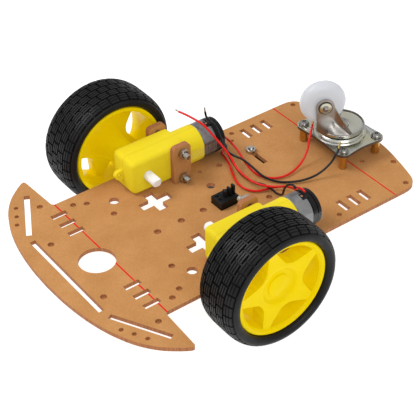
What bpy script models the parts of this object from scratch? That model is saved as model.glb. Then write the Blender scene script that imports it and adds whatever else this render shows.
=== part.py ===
"""Two wheel robot car kit: kraft-covered acrylic chassis, two geared motors with wheels, a swivel caster.

It stands wheels-down with the motor side up. Local positions are in millimetres from the middle of
the drive axle (X across, Y towards the caster) and from the chassis plate's top face (Z).
"""

from math import asin, cos, degrees, pi, radians, sin, sqrt

import bmesh
import bpy
from mathutils import Matrix, Vector

MM = 0.001
GAP = 0.3  # clearance kept between neighbouring solids

# Chassis plate
PLATE_T = 2.3
BODY_HALF_W = 50.2
BUMPER_HALF_W = 76.4
FRONT_Y = -79.5
REAR_Y = 124.5
PLATE_MID_Y = (FRONT_Y + REAR_Y) / 2

# Wheels and drive axle
TYRE_R = 32.5
TYRE_HALF_W = 13.5
WHEEL_X = 68.7
WINDOW_ANGLE = {"right": 68, "left": 77}  # how far each wheel is turned
AXLE_Z = 10.2

# Gear case, one each side
CASE_IN_X = 30.0
CASE_OUT_X = 48.8
CASE_MID_X = (CASE_IN_X + CASE_OUT_X) / 2
CASE_Y0 = -9.2
CASE_Y1 = 24.8
NECK_Y1 = 36.0
NECK_BORE_R = 8.6
LUG_R = 2.6
LUG_Z = 9.2
CASE_HALF_H = 9.9
CASE_WALL = 1.5
CASE_ROUND = 2.4
BOLT_Y = 19.5
BOLT_DZ = 7.6
BOLT_R = 1.4

# Motor
CAN_R = 9.6
CAN_FLAT = 9.0
CAN_Y1 = 44.6
CAP_Y1 = 50.3

# Caster
PIVOT_Y = 104.2
TRAIL = 10.3
TRAIL_ANGLE = -degrees(asin(0.46))
CASTER_WHEEL_R = 12.4
CASTER_WHEEL_Z = 30.0
STAND_X = 16.0
STAND_Y = (92.6, 115.8)
STAND_H = 8.5

# Battery holder, under the plate
HOLDER_X = 30.45
HOLDER_Y = (32.0, 88.4)
HOLDER_H = 14.5
HOLDER_WALL = 0.5
HOLDER_MID = -8.3
HOLDER_SCREWS = ((-25.0, 63.3), (7.5, 35.3))

WIRE_R = 0.6

for old in list(bpy.data.objects):
    bpy.data.objects.remove(old, do_unlink=True)

car_col = bpy.data.collections.new("two_wheel_robot_car")
cutter_col = bpy.data.collections.new("cutters")
bpy.context.scene.collection.children.link(car_col)
bpy.context.scene.collection.children.link(cutter_col)
cutter_col.hide_render = True


def empty(name, pos, turn_z=0.0, parent=None):
    obj = bpy.data.objects.new(name, None)
    car_col.objects.link(obj)
    obj.parent = parent
    obj.location = Vector(pos) * MM
    obj.rotation_euler = (0, 0, radians(turn_z))
    return obj


car = empty("car", (0, -PLATE_MID_Y, TYRE_R - AXLE_Z))
pivot = empty("caster_pivot", (0, PIVOT_Y, 0), TRAIL_ANGLE, car)


def material(name, rgb, rough=0.5, metal=0.0):
    mat = bpy.data.materials.new(name)
    mat.use_nodes = True
    shader = mat.node_tree.nodes["Principled BSDF"]
    shader.inputs["Base Color"].default_value = (*rgb, 1)
    shader.inputs["Roughness"].default_value = rough
    shader.inputs["Metallic"].default_value = metal
    mat.diffuse_color = (*rgb, 1)
    return mat


PAINT = {
    "kraft": ((0.60, 0.33, 0.13), 0.7, 0.0),
    "yellow": ((0.90, 0.75, 0.02), 0.4, 0.0),
    "nylon": ((0.85, 0.85, 0.82), 0.4, 0.0),
    "black": ((0.012, 0.012, 0.014), 0.5, 0.0),
    "tyre": ((0.015, 0.015, 0.017), 0.8, 0.0),
    "can": ((0.35, 0.35, 0.34), 0.35, 0.9),
    "steel": ((0.65, 0.65, 0.62), 0.3, 1.0),
    "zinc": ((0.70, 0.68, 0.60), 0.25, 1.0),
    "brass": ((0.60, 0.38, 0.10), 0.3, 1.0),
    "clear": ((0.80, 0.82, 0.84), 0.15, 0.0),
    "red_wire": ((0.80, 0.01, 0.01), 0.4, 0.0),
    "black_wire": ((0.012, 0.014, 0.016), 0.4, 0.0),
}


def place(obj, paint, pos=(0, 0, 0), turn=(0, 0, 0), parent=None):
    """Puts an object in the car, gives it its own material and hangs it on its empty."""
    for col in list(obj.users_collection):
        col.objects.unlink(obj)
    car_col.objects.link(obj)
    obj.parent = parent or car
    obj.location = Vector(pos) * MM
    obj.rotation_euler = [radians(a) for a in turn]
    obj.data.materials.clear()
    obj.data.materials.append(material(obj.name, *PAINT[paint]))
    return obj


def from_bmesh(name, bm):
    bmesh.ops.recalc_face_normals(bm, faces=bm.faces)
    mesh = bpy.data.meshes.new(name)
    bm.to_mesh(mesh)
    bm.free()
    obj = bpy.data.objects.new(name, mesh)
    bpy.context.scene.collection.objects.link(obj)
    return obj


def box(name, low, high, bevel=0.0):
    """A block between two corners, with its edges rounded if asked."""
    bm = bmesh.new()
    bmesh.ops.create_cube(bm, size=1)
    size = [b - a for a, b in zip(low, high)]
    mid = [(a + b) / 2 for a, b in zip(low, high)]
    bmesh.ops.scale(bm, vec=Vector(size) * MM, verts=bm.verts)
    bmesh.ops.translate(bm, vec=Vector(mid) * MM, verts=bm.verts)
    if bevel:
        bmesh.ops.bevel(bm, geom=bm.edges[:], offset=bevel * MM, segments=2, profile=0.5, affect="EDGES")
    return from_bmesh(name, bm)


AXES = {"X": Matrix.Rotation(pi / 2, 4, "Y"), "Y": Matrix.Rotation(-pi / 2, 4, "X"), "Z": Matrix()}


def rod(name, radius, start, length, axis, segments=16):
    """A straight round bar from start along +axis."""
    bm = bmesh.new()
    shift = Matrix.Translation((0, 0, length * MM / 2))
    bmesh.ops.create_cone(
        bm, cap_ends=True, segments=segments, radius1=radius * MM, radius2=radius * MM,
        depth=length * MM, matrix=Matrix.Translation(Vector(start) * MM) @ AXES[axis] @ shift,
    )
    return from_bmesh(name, bm)


def turned(name, profile, axis="Z", segments=24):
    """A turned solid: (radius, height) points in order, closed, spun about the axis by a Screw modifier."""
    bm = bmesh.new()
    points = [bm.verts.new((r * MM, 0, z * MM)) for r, z in profile]
    on_axis = profile[0][0] == 0 and profile[-1][0] == 0
    for a, b in zip(points, points[1:]):
        bm.edges.new((a, b))
    if not on_axis:
        bm.edges.new((points[-1], points[0]))
    mesh = bpy.data.meshes.new(name)
    bm.to_mesh(mesh)
    bm.free()
    spun = bpy.data.objects.new(name, mesh)
    bpy.context.scene.collection.objects.link(spun)
    screw = spun.modifiers.new("Screw", "SCREW")
    screw.steps = segments
    screw.render_steps = segments
    screw.use_merge_vertices = True
    screw.merge_threshold = 0.00001
    screw.use_normal_calculate = True
    obj = meshed(spun)
    obj.data.transform(AXES[axis])
    return obj


def meshed(source):
    """The evaluated shape of an object as a clean mesh object that replaces it."""
    bpy.context.view_layer.update()
    graph = bpy.context.evaluated_depsgraph_get()
    mesh = bpy.data.meshes.new_from_object(source.evaluated_get(graph))
    bm = bmesh.new()
    bm.from_mesh(mesh)
    bmesh.ops.remove_doubles(bm, verts=bm.verts, dist=0.000001)
    bmesh.ops.recalc_face_normals(bm, faces=bm.faces)
    bm.to_mesh(mesh)
    bm.free()
    name = source.name
    world = source.matrix_world.copy()
    bpy.data.objects.remove(source, do_unlink=True)
    obj = bpy.data.objects.new(name, mesh)
    obj.matrix_world = world
    bpy.context.scene.collection.objects.link(obj)
    return obj


def outline(name, loops, low, high, plane="XY"):
    """A flat sheet from closed 2D loops (the first is the outside), from low to high across its plane."""
    curve = bpy.data.curves.new(name, "CURVE")
    curve.dimensions = "2D"
    curve.fill_mode = "BOTH"
    curve.extrude = (high - low) / 2 * MM
    for loop in loops:
        spline = curve.splines.new("POLY")
        spline.points.add(len(loop) - 1)
        for point, (x, y) in zip(spline.points, loop):
            point.co = (x * MM, y * MM, 0, 1)
        spline.use_cyclic_u = True
    obj = bpy.data.objects.new(name, curve)
    bpy.context.scene.collection.objects.link(obj)
    obj = meshed(obj)
    obj.data.transform(Matrix.Translation((0, 0, (low + high) / 2 * MM)))
    if plane == "YZ":
        obj.data.transform(Matrix(((0, 0, 1, 0), (1, 0, 0, 0), (0, 1, 0, 0), (0, 0, 0, 1))))
    return obj


def combine(obj, others, operation="DIFFERENCE"):
    """Boolean modifiers that cut, join or intersect obj with the helper shapes."""
    for other in others:
        for col in list(other.users_collection):
            col.objects.unlink(other)
        cutter_col.objects.link(other)
        other.hide_render = True
        other.display_type = "WIRE"
        other.name = "cut_" + other.name
        modifier = obj.modifiers.new(operation.title(), "BOOLEAN")
        modifier.operation = operation
        modifier.solver = "EXACT"
        modifier.object = other
    return obj


def settled(obj):
    """Applies the boolean modifiers, so that the helper shapes can be thrown away."""
    helpers = [m.object for m in obj.modifiers if m.type == "BOOLEAN"]
    obj = meshed(obj)
    for helper in helpers:
        bpy.data.objects.remove(helper, do_unlink=True)
    return obj


def smooth(obj):
    obj.data.shade_smooth()
    obj.data.set_sharp_from_angle(angle=radians(35))
    return obj


def circle(x, y, radius, count=12):
    return [(x + radius * cos(2 * pi * i / count), y + radius * sin(2 * pi * i / count)) for i in range(count)]


def rect(x, y, half_x, half_y):
    x0, x1, y0, y1 = x - half_x, x + half_x, y - half_y, y + half_y
    return [(x0, y0), (x1, y0), (x1, y1), (x0, y1)]


def rounded(low, high, radius, steps=3):
    """A rectangle with round corners."""
    loop = []
    corners = ((high[0], high[1], 0), (low[0], high[1], 90), (low[0], low[1], 180), (high[0], low[1], 270))
    for cx, cy, start in corners:
        mx = cx - radius if cx == high[0] else cx + radius
        my = cy - radius if cy == high[1] else cy + radius
        for i in range(steps + 1):
            angle = radians(start + 90 * i / steps)
            loop.append((mx + radius * cos(angle), my + radius * sin(angle)))
    return loop


def slot(x0, y0, x1, y1, half_w):
    """A straight slot with square ends between two points."""
    length = sqrt((x1 - x0) ** 2 + (y1 - y0) ** 2)
    nx, ny = -(y1 - y0) / length * half_w, (x1 - x0) / length * half_w
    return [(x0 + nx, y0 + ny), (x0 - nx, y0 - ny), (x1 - nx, y1 - ny), (x1 + nx, y1 + ny)]


def plus(x, y, arm_x, arm_y, half_w):
    w = half_w
    return [
        (x + arm_x, y - w), (x + arm_x, y + w), (x + w, y + w), (x + w, y + arm_y), (x - w, y + arm_y),
        (x - w, y + w), (x - arm_x, y + w), (x - arm_x, y - w), (x - w, y - w), (x - w, y - arm_y),
        (x + w, y - arm_y), (x + w, y - w),
    ]


def spline_points(keys, step):
    """Points at about every step along a smooth curve through the keys."""
    keys = [Vector(k) for k in keys]
    ends = [2 * keys[0] - keys[1], *keys, 2 * keys[-1] - keys[-2]]
    points = []
    for a, b, c, d in zip(ends, ends[1:], ends[2:], ends[3:]):
        count = max(1, round((c - b).length / step))
        for i in range(count):
            t = i / count
            points.append(
                0.5 * (2 * b + (c - a) * t + (2 * a - 5 * b + 4 * c - d) * t**2
                       + (3 * b - a - 3 * c + d) * t**3)
            )
    return [*points, keys[-1]]


# Chassis plate: the right half of its edge from the front middle to the rear middle, then mirrored
front_keys = [
    (0, FRONT_Y, 0), (16, -78.8, 0), (32, -76.6, 0), (46, -72.9, 0), (58, -67.6, 0), (67, -61.0, 0),
    (73.4, -53.6, 0), (76.0, -49.6, 0),
]
front_edge = [(p.x, p.y) for p in spline_points(front_keys, 7.0)]
tip_edge = [(BUMPER_HALF_W, -48.2), (BUMPER_HALF_W - 0.9, -47.4), (51.4, -46.1), (BODY_HALF_W, -45.0)]
edge_notch = [(BODY_HALF_W, 13.7), (48.8, 13.7), (48.8, 23.9), (BODY_HALF_W, 23.9)]
rear_edge = [
    (BODY_HALF_W, 105.5), (49.8, 109.4), (48.4, 112.6), (45.9, 114.9),
    (42.0, 116.6), (30, 120.1), (16, 123.2), (0, REAR_Y),
]
right_edge = front_edge + tip_edge + edge_notch + rear_edge
left_edge = [(-x, y) for x, y in reversed(right_edge[1:-1])]

plate_holes = [circle(0, -51.1, 9.35, 40)]
pairs = (
    (34.1, -18.9, 2.7), (53.2, -51.8, 1.6), (23.9, -62.8, 1.7), (44.0, -37.5, 1.6), (40.8, -31.3, 1.6),
    (25.4, -24.7, 1.7), (59.5, -62.1, 1.2), (53.3, -65.3, 1.2), (47.4, -68.5, 1.2), (46.0, 110.0, 1.5),
    (28.5, 117.6, 1.6), (44.8, 65.2, 1.4), (18.0, 104.7, 1.4),
)
for x, y, r in pairs:
    plate_holes += [circle(x, y, r, 8), circle(-x, y, r, 8)]
singles = ((0, -15.4, 1.9), (0, -0.9, 1.9), (0, 12.9, 1.9), (-14, 28.1, 2.4), (-25.6, 42.2, 1.7), (12, 46.2, 1.7))
for x, y, r in singles:
    plate_holes.append(circle(x, y, r, 10))
for x, y, r in ((-27.1, 30.6, 1.0), (-39.2, 61.4, 1.0)):
    plate_holes.append(circle(x, y, r, 8))
for side in (-1, 1):
    for x in (41.4, 33.2, 25.1):
        plate_holes.append(rect(side * x, -47.4, 1.55, 4.4))
    for y in (71.7, 78.8, 85.9):
        plate_holes.append(rect(side * 40.2, y, 4.3, 1.6))
    plate_holes.append(slot(side * 65.2, -52.6, side * 36.6, -67.9, 1.5))
    plate_holes.append(plus(side * 20.9, -2.2, 7.8, 9.0, 2.7))
    plate_holes.append(rect(side * 28.2, 18.8, 1.8, 5.1))
    for y in STAND_Y:
        plate_holes.append(circle(side * STAND_X, y, 1.3, 8))
plate_holes.append(rect(0, -68.9, 31.6, 1.5))
plate_holes.append(rect(-17.6, 63.3, 5.2, 1.5))
plate_holes.append(rect(1.6, 25.75, 4.7, 6.05))
for x, y in HOLDER_SCREWS:
    plate_holes.append(circle(x, y, BOLT_R + GAP, 10))
place(outline("chassis_plate", [right_edge + left_edge, *plate_holes], -PLATE_T, 0), "kraft")


def gear_loop(teeth, tip, root):
    """A toothed wheel's edge, four points a tooth."""
    loop = []
    for i in range(teeth):
        for share, radius in ((-0.28, root), (-0.14, tip), (0.14, tip), (0.28, root)):
            angle = 2 * pi * (i + share) / teeth
            loop.append((radius * cos(angle), radius * sin(angle)))
    return loop


def flattened(obj):
    """Cuts the motor's two flat sides."""
    sides = []
    for s in (-1, 1):
        lo, hi = sorted((s * CAN_FLAT, s * 12))
        sides.append(box("flat", (lo, 20, -12), (hi, 60, 12)))
    return smooth(settled(combine(obj, sides)))


CROWN_Y = 19.6
REDUCER_Y = 11.1
NUT_LOOPS = [circle(0, 0, 2.95, 6), circle(0, 0, BOLT_R + GAP, 12)]


def motor_side(word, side):
    """One geared motor with its brackets, bolts and wheel, on the +X (side 1) or -X (side -1) side."""

    def across(a, b):
        """X from a to b on this side, low end first."""
        return (min(side * a, side * b), max(side * a, side * b))

    mid = side * CASE_MID_X

    # Gear case: one rounded shape, hollowed, bored, and split into two shells at its middle
    halves = (("inner", CASE_IN_X - 1, CASE_MID_X - GAP / 2), ("outer", CASE_MID_X + GAP / 2, CASE_OUT_X + 1))
    for half, x0, x1 in halves:
        lo, hi = across(CASE_IN_X, CASE_OUT_X)
        z0, z1 = AXLE_Z - CASE_HALF_H, AXLE_Z + CASE_HALF_H
        case = box(f"{word}_gear_case_{half}", (lo, CASE_Y0, z0), (hi, CASE_Y1, z1), CASE_ROUND)
        neck = rod("neck", CASE_HALF_H, (mid, CASE_Y1 - 2, AXLE_Z), NECK_Y1 - CASE_Y1 + 2, "Y", 28)
        neck = settled(combine(neck, [box("flats", (lo, CASE_Y1 - 3, -5), (hi, NECK_Y1 + 1, 30))], "INTERSECT"))
        combine(case, [neck], "UNION")
        if half == "outer":
            tab = [(CASE_Y0 + 1, LUG_Z + LUG_R)]
            for a in range(0, 181, 30):
                tab.append((CASE_Y0 - 2 - LUG_R * sin(radians(a)), LUG_Z + LUG_R * cos(radians(a))))
            tab.append((CASE_Y0 + 1, LUG_Z - LUG_R))
            lug_lo, lug_hi = across(CASE_MID_X + GAP / 2, CASE_MID_X + 2.4)
            lug = outline("lug", [tab, circle(CASE_Y0 - 2, LUG_Z, 1.25, 10)], lug_lo, lug_hi, "YZ")
            combine(case, [lug], "UNION")
        cav_lo, cav_hi = across(CASE_IN_X + CASE_WALL, CASE_OUT_X - CASE_WALL)
        w = CASE_WALL
        cuts = [
            box("cavity", (cav_lo, CASE_Y0 + w, z0 + w), (cav_hi, CASE_Y1 - w, z1 - w)),
            rod("neck_bore", NECK_BORE_R, (mid, CASE_Y1 - w - 1, AXLE_Z), 20, "Y", 24),
            rod("shaft_bore", 3.0, (-60, 0, AXLE_Z), 120, "X", 16),
        ]
        for dz in (-BOLT_DZ, BOLT_DZ):
            cuts.append(rod("bolt_bore", BOLT_R + GAP, (-60, BOLT_Y, AXLE_Z + dz), 120, "X", 12))
        combine(case, cuts)
        keep_lo, keep_hi = across(x0, x1)
        combine(case, [box("half", (keep_lo, -30, -10), (keep_hi, 60, 40))], "INTERSECT")
        place(settled(case), "yellow")

    # Brackets with their tabs through the plate, bolts and nuts
    for half, x0 in (("inner", CASE_IN_X - 3.3), ("outer", CASE_OUT_X + 0.3)):
        top = [(y, z) for y, z in rounded((14.0, GAP), (24.8, 22.0), 2.5, 3) if z > 5]
        foot = [(14.0, -PLATE_T), (23.6, -PLATE_T), (23.6, GAP), (24.8, GAP)]
        holes = [circle(BOLT_Y, AXLE_Z + dz, BOLT_R + GAP, 12) for dz in (-BOLT_DZ, BOLT_DZ)]
        lo, hi = across(x0, x0 + 3.0)
        place(outline(f"{word}_motor_bracket_{half}", [top + foot, *holes], lo, hi, "YZ"), "kraft")
    for level, dz in (("lower", -BOLT_DZ), ("upper", BOLT_DZ)):
        bolt = turned(
            f"{word}_motor_bolt_{level}",
            [
                (0, side * 54.4), (2.7, side * 54.4), (2.7, side * 52.4), (BOLT_R, side * 52.4),
                (BOLT_R, side * 21.0), (0, side * 21.0),
            ],
            "X", 12,
        )
        place(smooth(bolt), "steel", (0, BOLT_Y, AXLE_Z + dz))
        lo, hi = across(24.0, 26.4)
        nut = outline(f"{word}_motor_nut_{level}", NUT_LOOPS, lo, hi, "YZ")
        place(nut, "steel", (0, BOLT_Y, AXLE_Z + dz))

    # Output shaft with its gear, flats on the free inner end
    gear_lo, gear_hi = across(CASE_MID_X + 2.5, CASE_MID_X + 6.3)
    shaft_lo, shaft_hi = across(21.2, 57.9)
    shaft = rod(f"{word}_output_shaft", 2.65, (shaft_lo, 0, 0), shaft_hi - shaft_lo, "X", 16)
    combine(shaft, [outline("teeth", [gear_loop(20, 7.5, 6.7)], gear_lo, gear_hi, "YZ")], "UNION")
    flat_lo, flat_hi = across(20.0, CASE_IN_X - 0.5)
    combine(shaft, [box("flat", (flat_lo, -4, s * 3.0 - 1.15), (flat_hi, 4, s * 3.0 + 1.15)) for s in (-1, 1)])
    place(settled(shaft), "nylon", (0, 0, AXLE_Z))

    # Reduction gear: a wheel and a pinion in one, on its own axis
    wheel_lo, wheel_hi = across(CASE_MID_X - 1.0, CASE_MID_X + 1.6)
    pin_lo, pin_hi = across(CASE_MID_X - 6.0, CASE_MID_X + 6.4)
    reducer = outline(f"{word}_reduction_gear", [gear_loop(18, 5.9, 5.2)], wheel_lo, wheel_hi, "YZ")
    pinion_lo, pinion_hi = across(CASE_MID_X + 1.0, CASE_MID_X + 5.8)
    combine(reducer, [outline("pinion", [gear_loop(8, 3.2, 2.5)], pinion_lo, pinion_hi, "YZ")], "UNION")
    combine(reducer, [rod("pin", 1.2, (pin_lo, 0, 0), pin_hi - pin_lo, "X", 10)], "UNION")
    place(settled(reducer), "nylon", (0, REDUCER_Y, AXLE_Z))

    # Crown gear: a face gear driven by the motor pinion, with its own small pinion
    crown_lo, crown_hi = across(CASE_MID_X - 5.0, CASE_MID_X - 2.2)
    small_lo, small_hi = across(CASE_MID_X - 2.6, CASE_MID_X + 1.6)
    crown = outline(f"{word}_crown_gear", [gear_loop(18, 5.5, 4.9)], crown_lo, crown_hi, "YZ")
    combine(crown, [outline("pinion", [gear_loop(6, 2.2, 1.6)], small_lo, small_hi, "YZ")], "UNION")
    pin_lo, pin_hi = across(CASE_MID_X - 7.0, CASE_MID_X + 6.4)
    combine(crown, [rod("pin", 0.9, (pin_lo, 0, 0), pin_hi - pin_lo, "X", 10)], "UNION")
    place(settled(crown), "nylon", (0, CROWN_Y, AXLE_Z))

    # Motor: can with a front spigot in the neck, rotor, end cap, retaining strap
    can = turned(
        f"{word}_motor_can",
        [
            (7.4, CAN_Y1), (CAN_R, CAN_Y1), (CAN_R, NECK_Y1 + GAP),
            (8.2, NECK_Y1 + GAP), (8.2, 27.5), (1.6, 27.5),
            (1.6, 29.0), (7.4, 29.0),
        ],
        "Y", 28,
    )
    place(flattened(can), "can", (mid, 0, AXLE_Z))
    rotor = turned(
        f"{word}_motor_rotor",
        [
            (0, 44.2), (1.0, 44.2), (1.0, 42.5), (5.6, 42.5),
            (5.6, 30.5), (1.0, 30.5), (1.0, 25.6), (1.55, 25.6),
            (1.55, 22.3), (0, 22.3),
        ],
        "Y", 16,
    )
    place(smooth(rotor), "steel", (mid, 0, AXLE_Z))
    cap = turned(
        f"{word}_motor_end_cap",
        [(0, CAP_Y1), (8.8, CAP_Y1), (CAN_R, CAP_Y1 - 0.8), (CAN_R, CAN_Y1 + GAP), (0, CAN_Y1 + GAP)],
        "Y", 28,
    )
    place(flattened(cap), "black", (mid, 0, AXLE_Z))
    out, inn, back = 10.25, 9.75, CAP_Y1 + 0.4
    band = [
        (out, 27), (out, back - 0.7), (out - 1.2, back + 0.5),
        (1.2 - out, back + 0.5), (-out, back - 0.7), (-out, 27),
        (-inn, 27), (-inn, back - 0.8), (-inn + 0.9, back), (inn - 0.9, back), (inn, back - 0.8), (inn, 27),
    ]
    place(outline(f"{word}_motor_strap", [band], -2.5, 2.5), "clear", (mid, 0, AXLE_Z))

    # Wheel: rim with hub and five windows, and tyre
    s = side
    rim = turned(
        f"{word}_wheel_rim",
        [
            (0, s * 8.6), (5.5, s * 8.6), (9.0, s * 6.0),
            (22.8, s * 6.0), (23.6, s * 11.0), (25.5, s * 11.0),
            (25.5, s * 9.0), (24.5, s * 9.0), (24.5, s * -10.4),
            (25.5, s * -10.4), (25.5, s * -12.4), (23.4, s * -12.4),
            (22.4, s * -9.0), (22.4, s * 3.0), (10.6, s * 3.0), (7.0, s * -6.0),
            (7.0, s * -18.4), (3.0, s * -18.4), (3.0, s * -10.4),
            (0, s * -10.4),
        ],
        "X", 30,
    )
    windows = []
    for i in range(5):
        angle = radians(WINDOW_ANGLE[word] + 72 * i)
        windows.append(rod("window", 3.6, (-12, 16.6 * cos(angle), 16.6 * sin(angle)), 24, "X", 6))
    place(smooth(settled(combine(rim, windows))), "yellow", (side * WHEEL_X, 0, AXLE_Z))
    w = TYRE_HALF_W
    tyre = turned(
        f"{word}_tyre",
        [
            (25.8, s * w), (29.0, s * w), (31.3, s * 11.4), (32.3, s * 7.5),
            (TYRE_R, 0), (32.3, s * -7.5), (31.3, s * -11.4),
            (29.0, s * -w), (25.8, s * -w), (25.8, s * -10.1),
            (24.8, s * -10.1), (24.8, s * 8.7), (25.8, s * 8.7),
        ],
        "X", 36,
    )
    place(smooth(tyre), "tyre", (side * WHEEL_X, 0, AXLE_Z))


motor_side("right", 1)
motor_side("left", -1)

# Caster: standoffs and screws, top plate with its raised ball race, kingpin, swivelling fork, wheel and axle
for word, x in (("right", STAND_X), ("left", -STAND_X)):
    for end, y in zip(("front", "rear"), STAND_Y):
        sleeve = [(2.15, STAND_H), (2.15, GAP), (1.25, GAP), (1.25, STAND_H)]
        post = turned(f"caster_standoff_{end}_{word}", sleeve, "Z", 12)
        place(smooth(post), "brass", (x, y, 0))
        screw = turned(
            f"caster_screw_{end}_{word}",
            [
                (0, 12.4), (1.5, 12.4), (2.6, 11.6), (2.6, 10.9), (2.9, 10.9), (2.9, 10.6), (0.95, 10.6),
                (0.95, 3.0), (0, 3.0),
            ],
            "Z", 12,
        )
        place(smooth(screw), "steel", (x, y, 0))

plate_half_x, plate_half_y = 19.8, 15.5
holes = [circle(x, y - PIVOT_Y, 1.3, 8) for x in (-STAND_X, STAND_X) for y in STAND_Y]
loop = rounded((-plate_half_x, -plate_half_y), (plate_half_x, plate_half_y), 3.8, 4)
top = outline("caster_top_plate", [loop, *holes], STAND_H + GAP, STAND_H + GAP + 1.5)
dome = turned("dome", [(0, 12.3), (11.6, 12.3), (13.0, 11.0), (13.4, 9.6), (0, 9.6)], "Z", 24)
combine(top, [dome], "UNION")
combine(top, [rod("bore", 2.3, (0, 0, 5), 12, "Z", 12)])
place(settled(top), "zinc", (0, PIVOT_Y, 0))

kingpin = turned(
    "caster_kingpin",
    [(0, 15.3), (3.4, 15.3), (4.2, 14.3), (2.0, 14.3), (2.0, 8.5), (3.6, 8.5), (3.6, 7.4), (0, 7.4)], "Z", 16,
)
place(smooth(kingpin), "steel", (0, PIVOT_Y, 0))

fork = turned(
    "caster_fork",
    [(13.0, 15.6), (13.0, 12.6), (2.3, 12.6), (2.3, 14.0), (12.0, 14.0), (12.0, 15.6)], "Z", 28,
)
leg = [(9.0, 13.2), (9.0, 15.4)]
for i in range(9):
    angle = radians(18 + 180 * i / 8)
    leg.append((-TRAIL + 5.0 * cos(angle), CASTER_WHEEL_Z + 5.0 * sin(angle)))
leg += [(-14.2, 17.0), (-13.6, 15.2), (-11.2, 13.2)]
for x in (-6.4, 5.4):
    combine(fork, [outline("leg", [leg], x, x + 1.0, "YZ")], "UNION")
combine(fork, [rod("axle_bore", 1.7, (-12, -TRAIL, CASTER_WHEEL_Z), 24, "X", 12)])
place(settled(fork), "zinc", (0, 0, 0), parent=pivot)

wheel = turned(
    "caster_wheel",
    [
        (3.4, 4.6), (6.0, 4.2), (10.9, 4.2), (CASTER_WHEEL_R, 2.7),
        (CASTER_WHEEL_R, -2.7), (10.9, -4.2), (6.0, -4.2),
        (3.4, -4.6), (1.75, -4.6), (1.75, 4.6),
    ],
    "X", 24,
)
place(smooth(wheel), "nylon", (0, -TRAIL, CASTER_WHEEL_Z), parent=pivot)
axle = turned(
    "caster_axle",
    [
        (0, 8.0), (1.5, 8.0), (1.6, 7.2), (3.8, 7.0), (3.8, 6.7),
        (1.4, 6.7), (1.4, -6.7), (3.8, -6.7), (3.8, -7.0),
        (1.6, -7.2), (1.5, -8.0), (0, -8.0),
    ],
    "X", 12,
)
place(smooth(axle), "steel", (0, -TRAIL, CASTER_WHEEL_Z), parent=pivot)

# Power switch: body through the plate, rocker on the underside
switch = box("switch_body", (-2.8, 20.0, -3.9), (6.0, 31.5, 4.5))
combine(switch, [box("flange", (-4.3, 19.6, -4.1), (7.5, 31.7, -PLATE_T - GAP))], "UNION")
combine(switch, [box("well", (-1.9, 21.0, -5), (5.1, 30.5, -0.9))])
place(settled(switch), "black")
rocker_loop = [(-4.1, 0.6), (-4.1, -2.2), (-3.4, -2.4), (0, -1.5), (3.4, -2.4), (4.1, -2.2), (4.1, 0.6)]
place(outline("switch_rocker", [rocker_loop], -3.1, 3.1, "YZ"), "black", (1.6, 25.75, -3.2))

# Battery holder for four cells, with its two screws and nuts
z1 = -PLATE_T - GAP
low = (HOLDER_MID - HOLDER_X, HOLDER_Y[0], z1 - HOLDER_H)
holder = box("battery_holder", low, (HOLDER_MID + HOLDER_X, HOLDER_Y[1], z1))
bay_w = (2 * HOLDER_X - 5 * HOLDER_WALL) / 4
bays = []
for i in range(4):
    x0 = HOLDER_MID - HOLDER_X + HOLDER_WALL + i * (bay_w + HOLDER_WALL)
    low = (x0, HOLDER_Y[0] + 1.0, z1 - HOLDER_H - 1)
    bays.append(box("bay", low, (x0 + bay_w, HOLDER_Y[1] - 1.0, z1 - 1.7)))
for x, y in HOLDER_SCREWS:
    bays.append(rod("hole", BOLT_R + GAP, (x, y, -10), 12, "Z", 10))
    bays.append(rod("head_room", 2.8, (x, y, z1 - 4.0), 2.6, "Z", 14))
place(settled(combine(holder, bays)), "black")
for word, (x, y) in zip(("left", "right"), HOLDER_SCREWS):
    screw = turned(
        f"holder_screw_{word}",
        [(0, 2.9), (BOLT_R, 2.9), (BOLT_R, -4.6), (2.3, -4.6), (2.3, -6.0), (0, -6.0)], "Z", 12,
    )
    place(smooth(screw), "steel", (x, y, 0))
    nut = outline(f"holder_nut_{word}", NUT_LOOPS, GAP, 2.1)
    place(nut, "steel", (x, y, 0))


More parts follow.
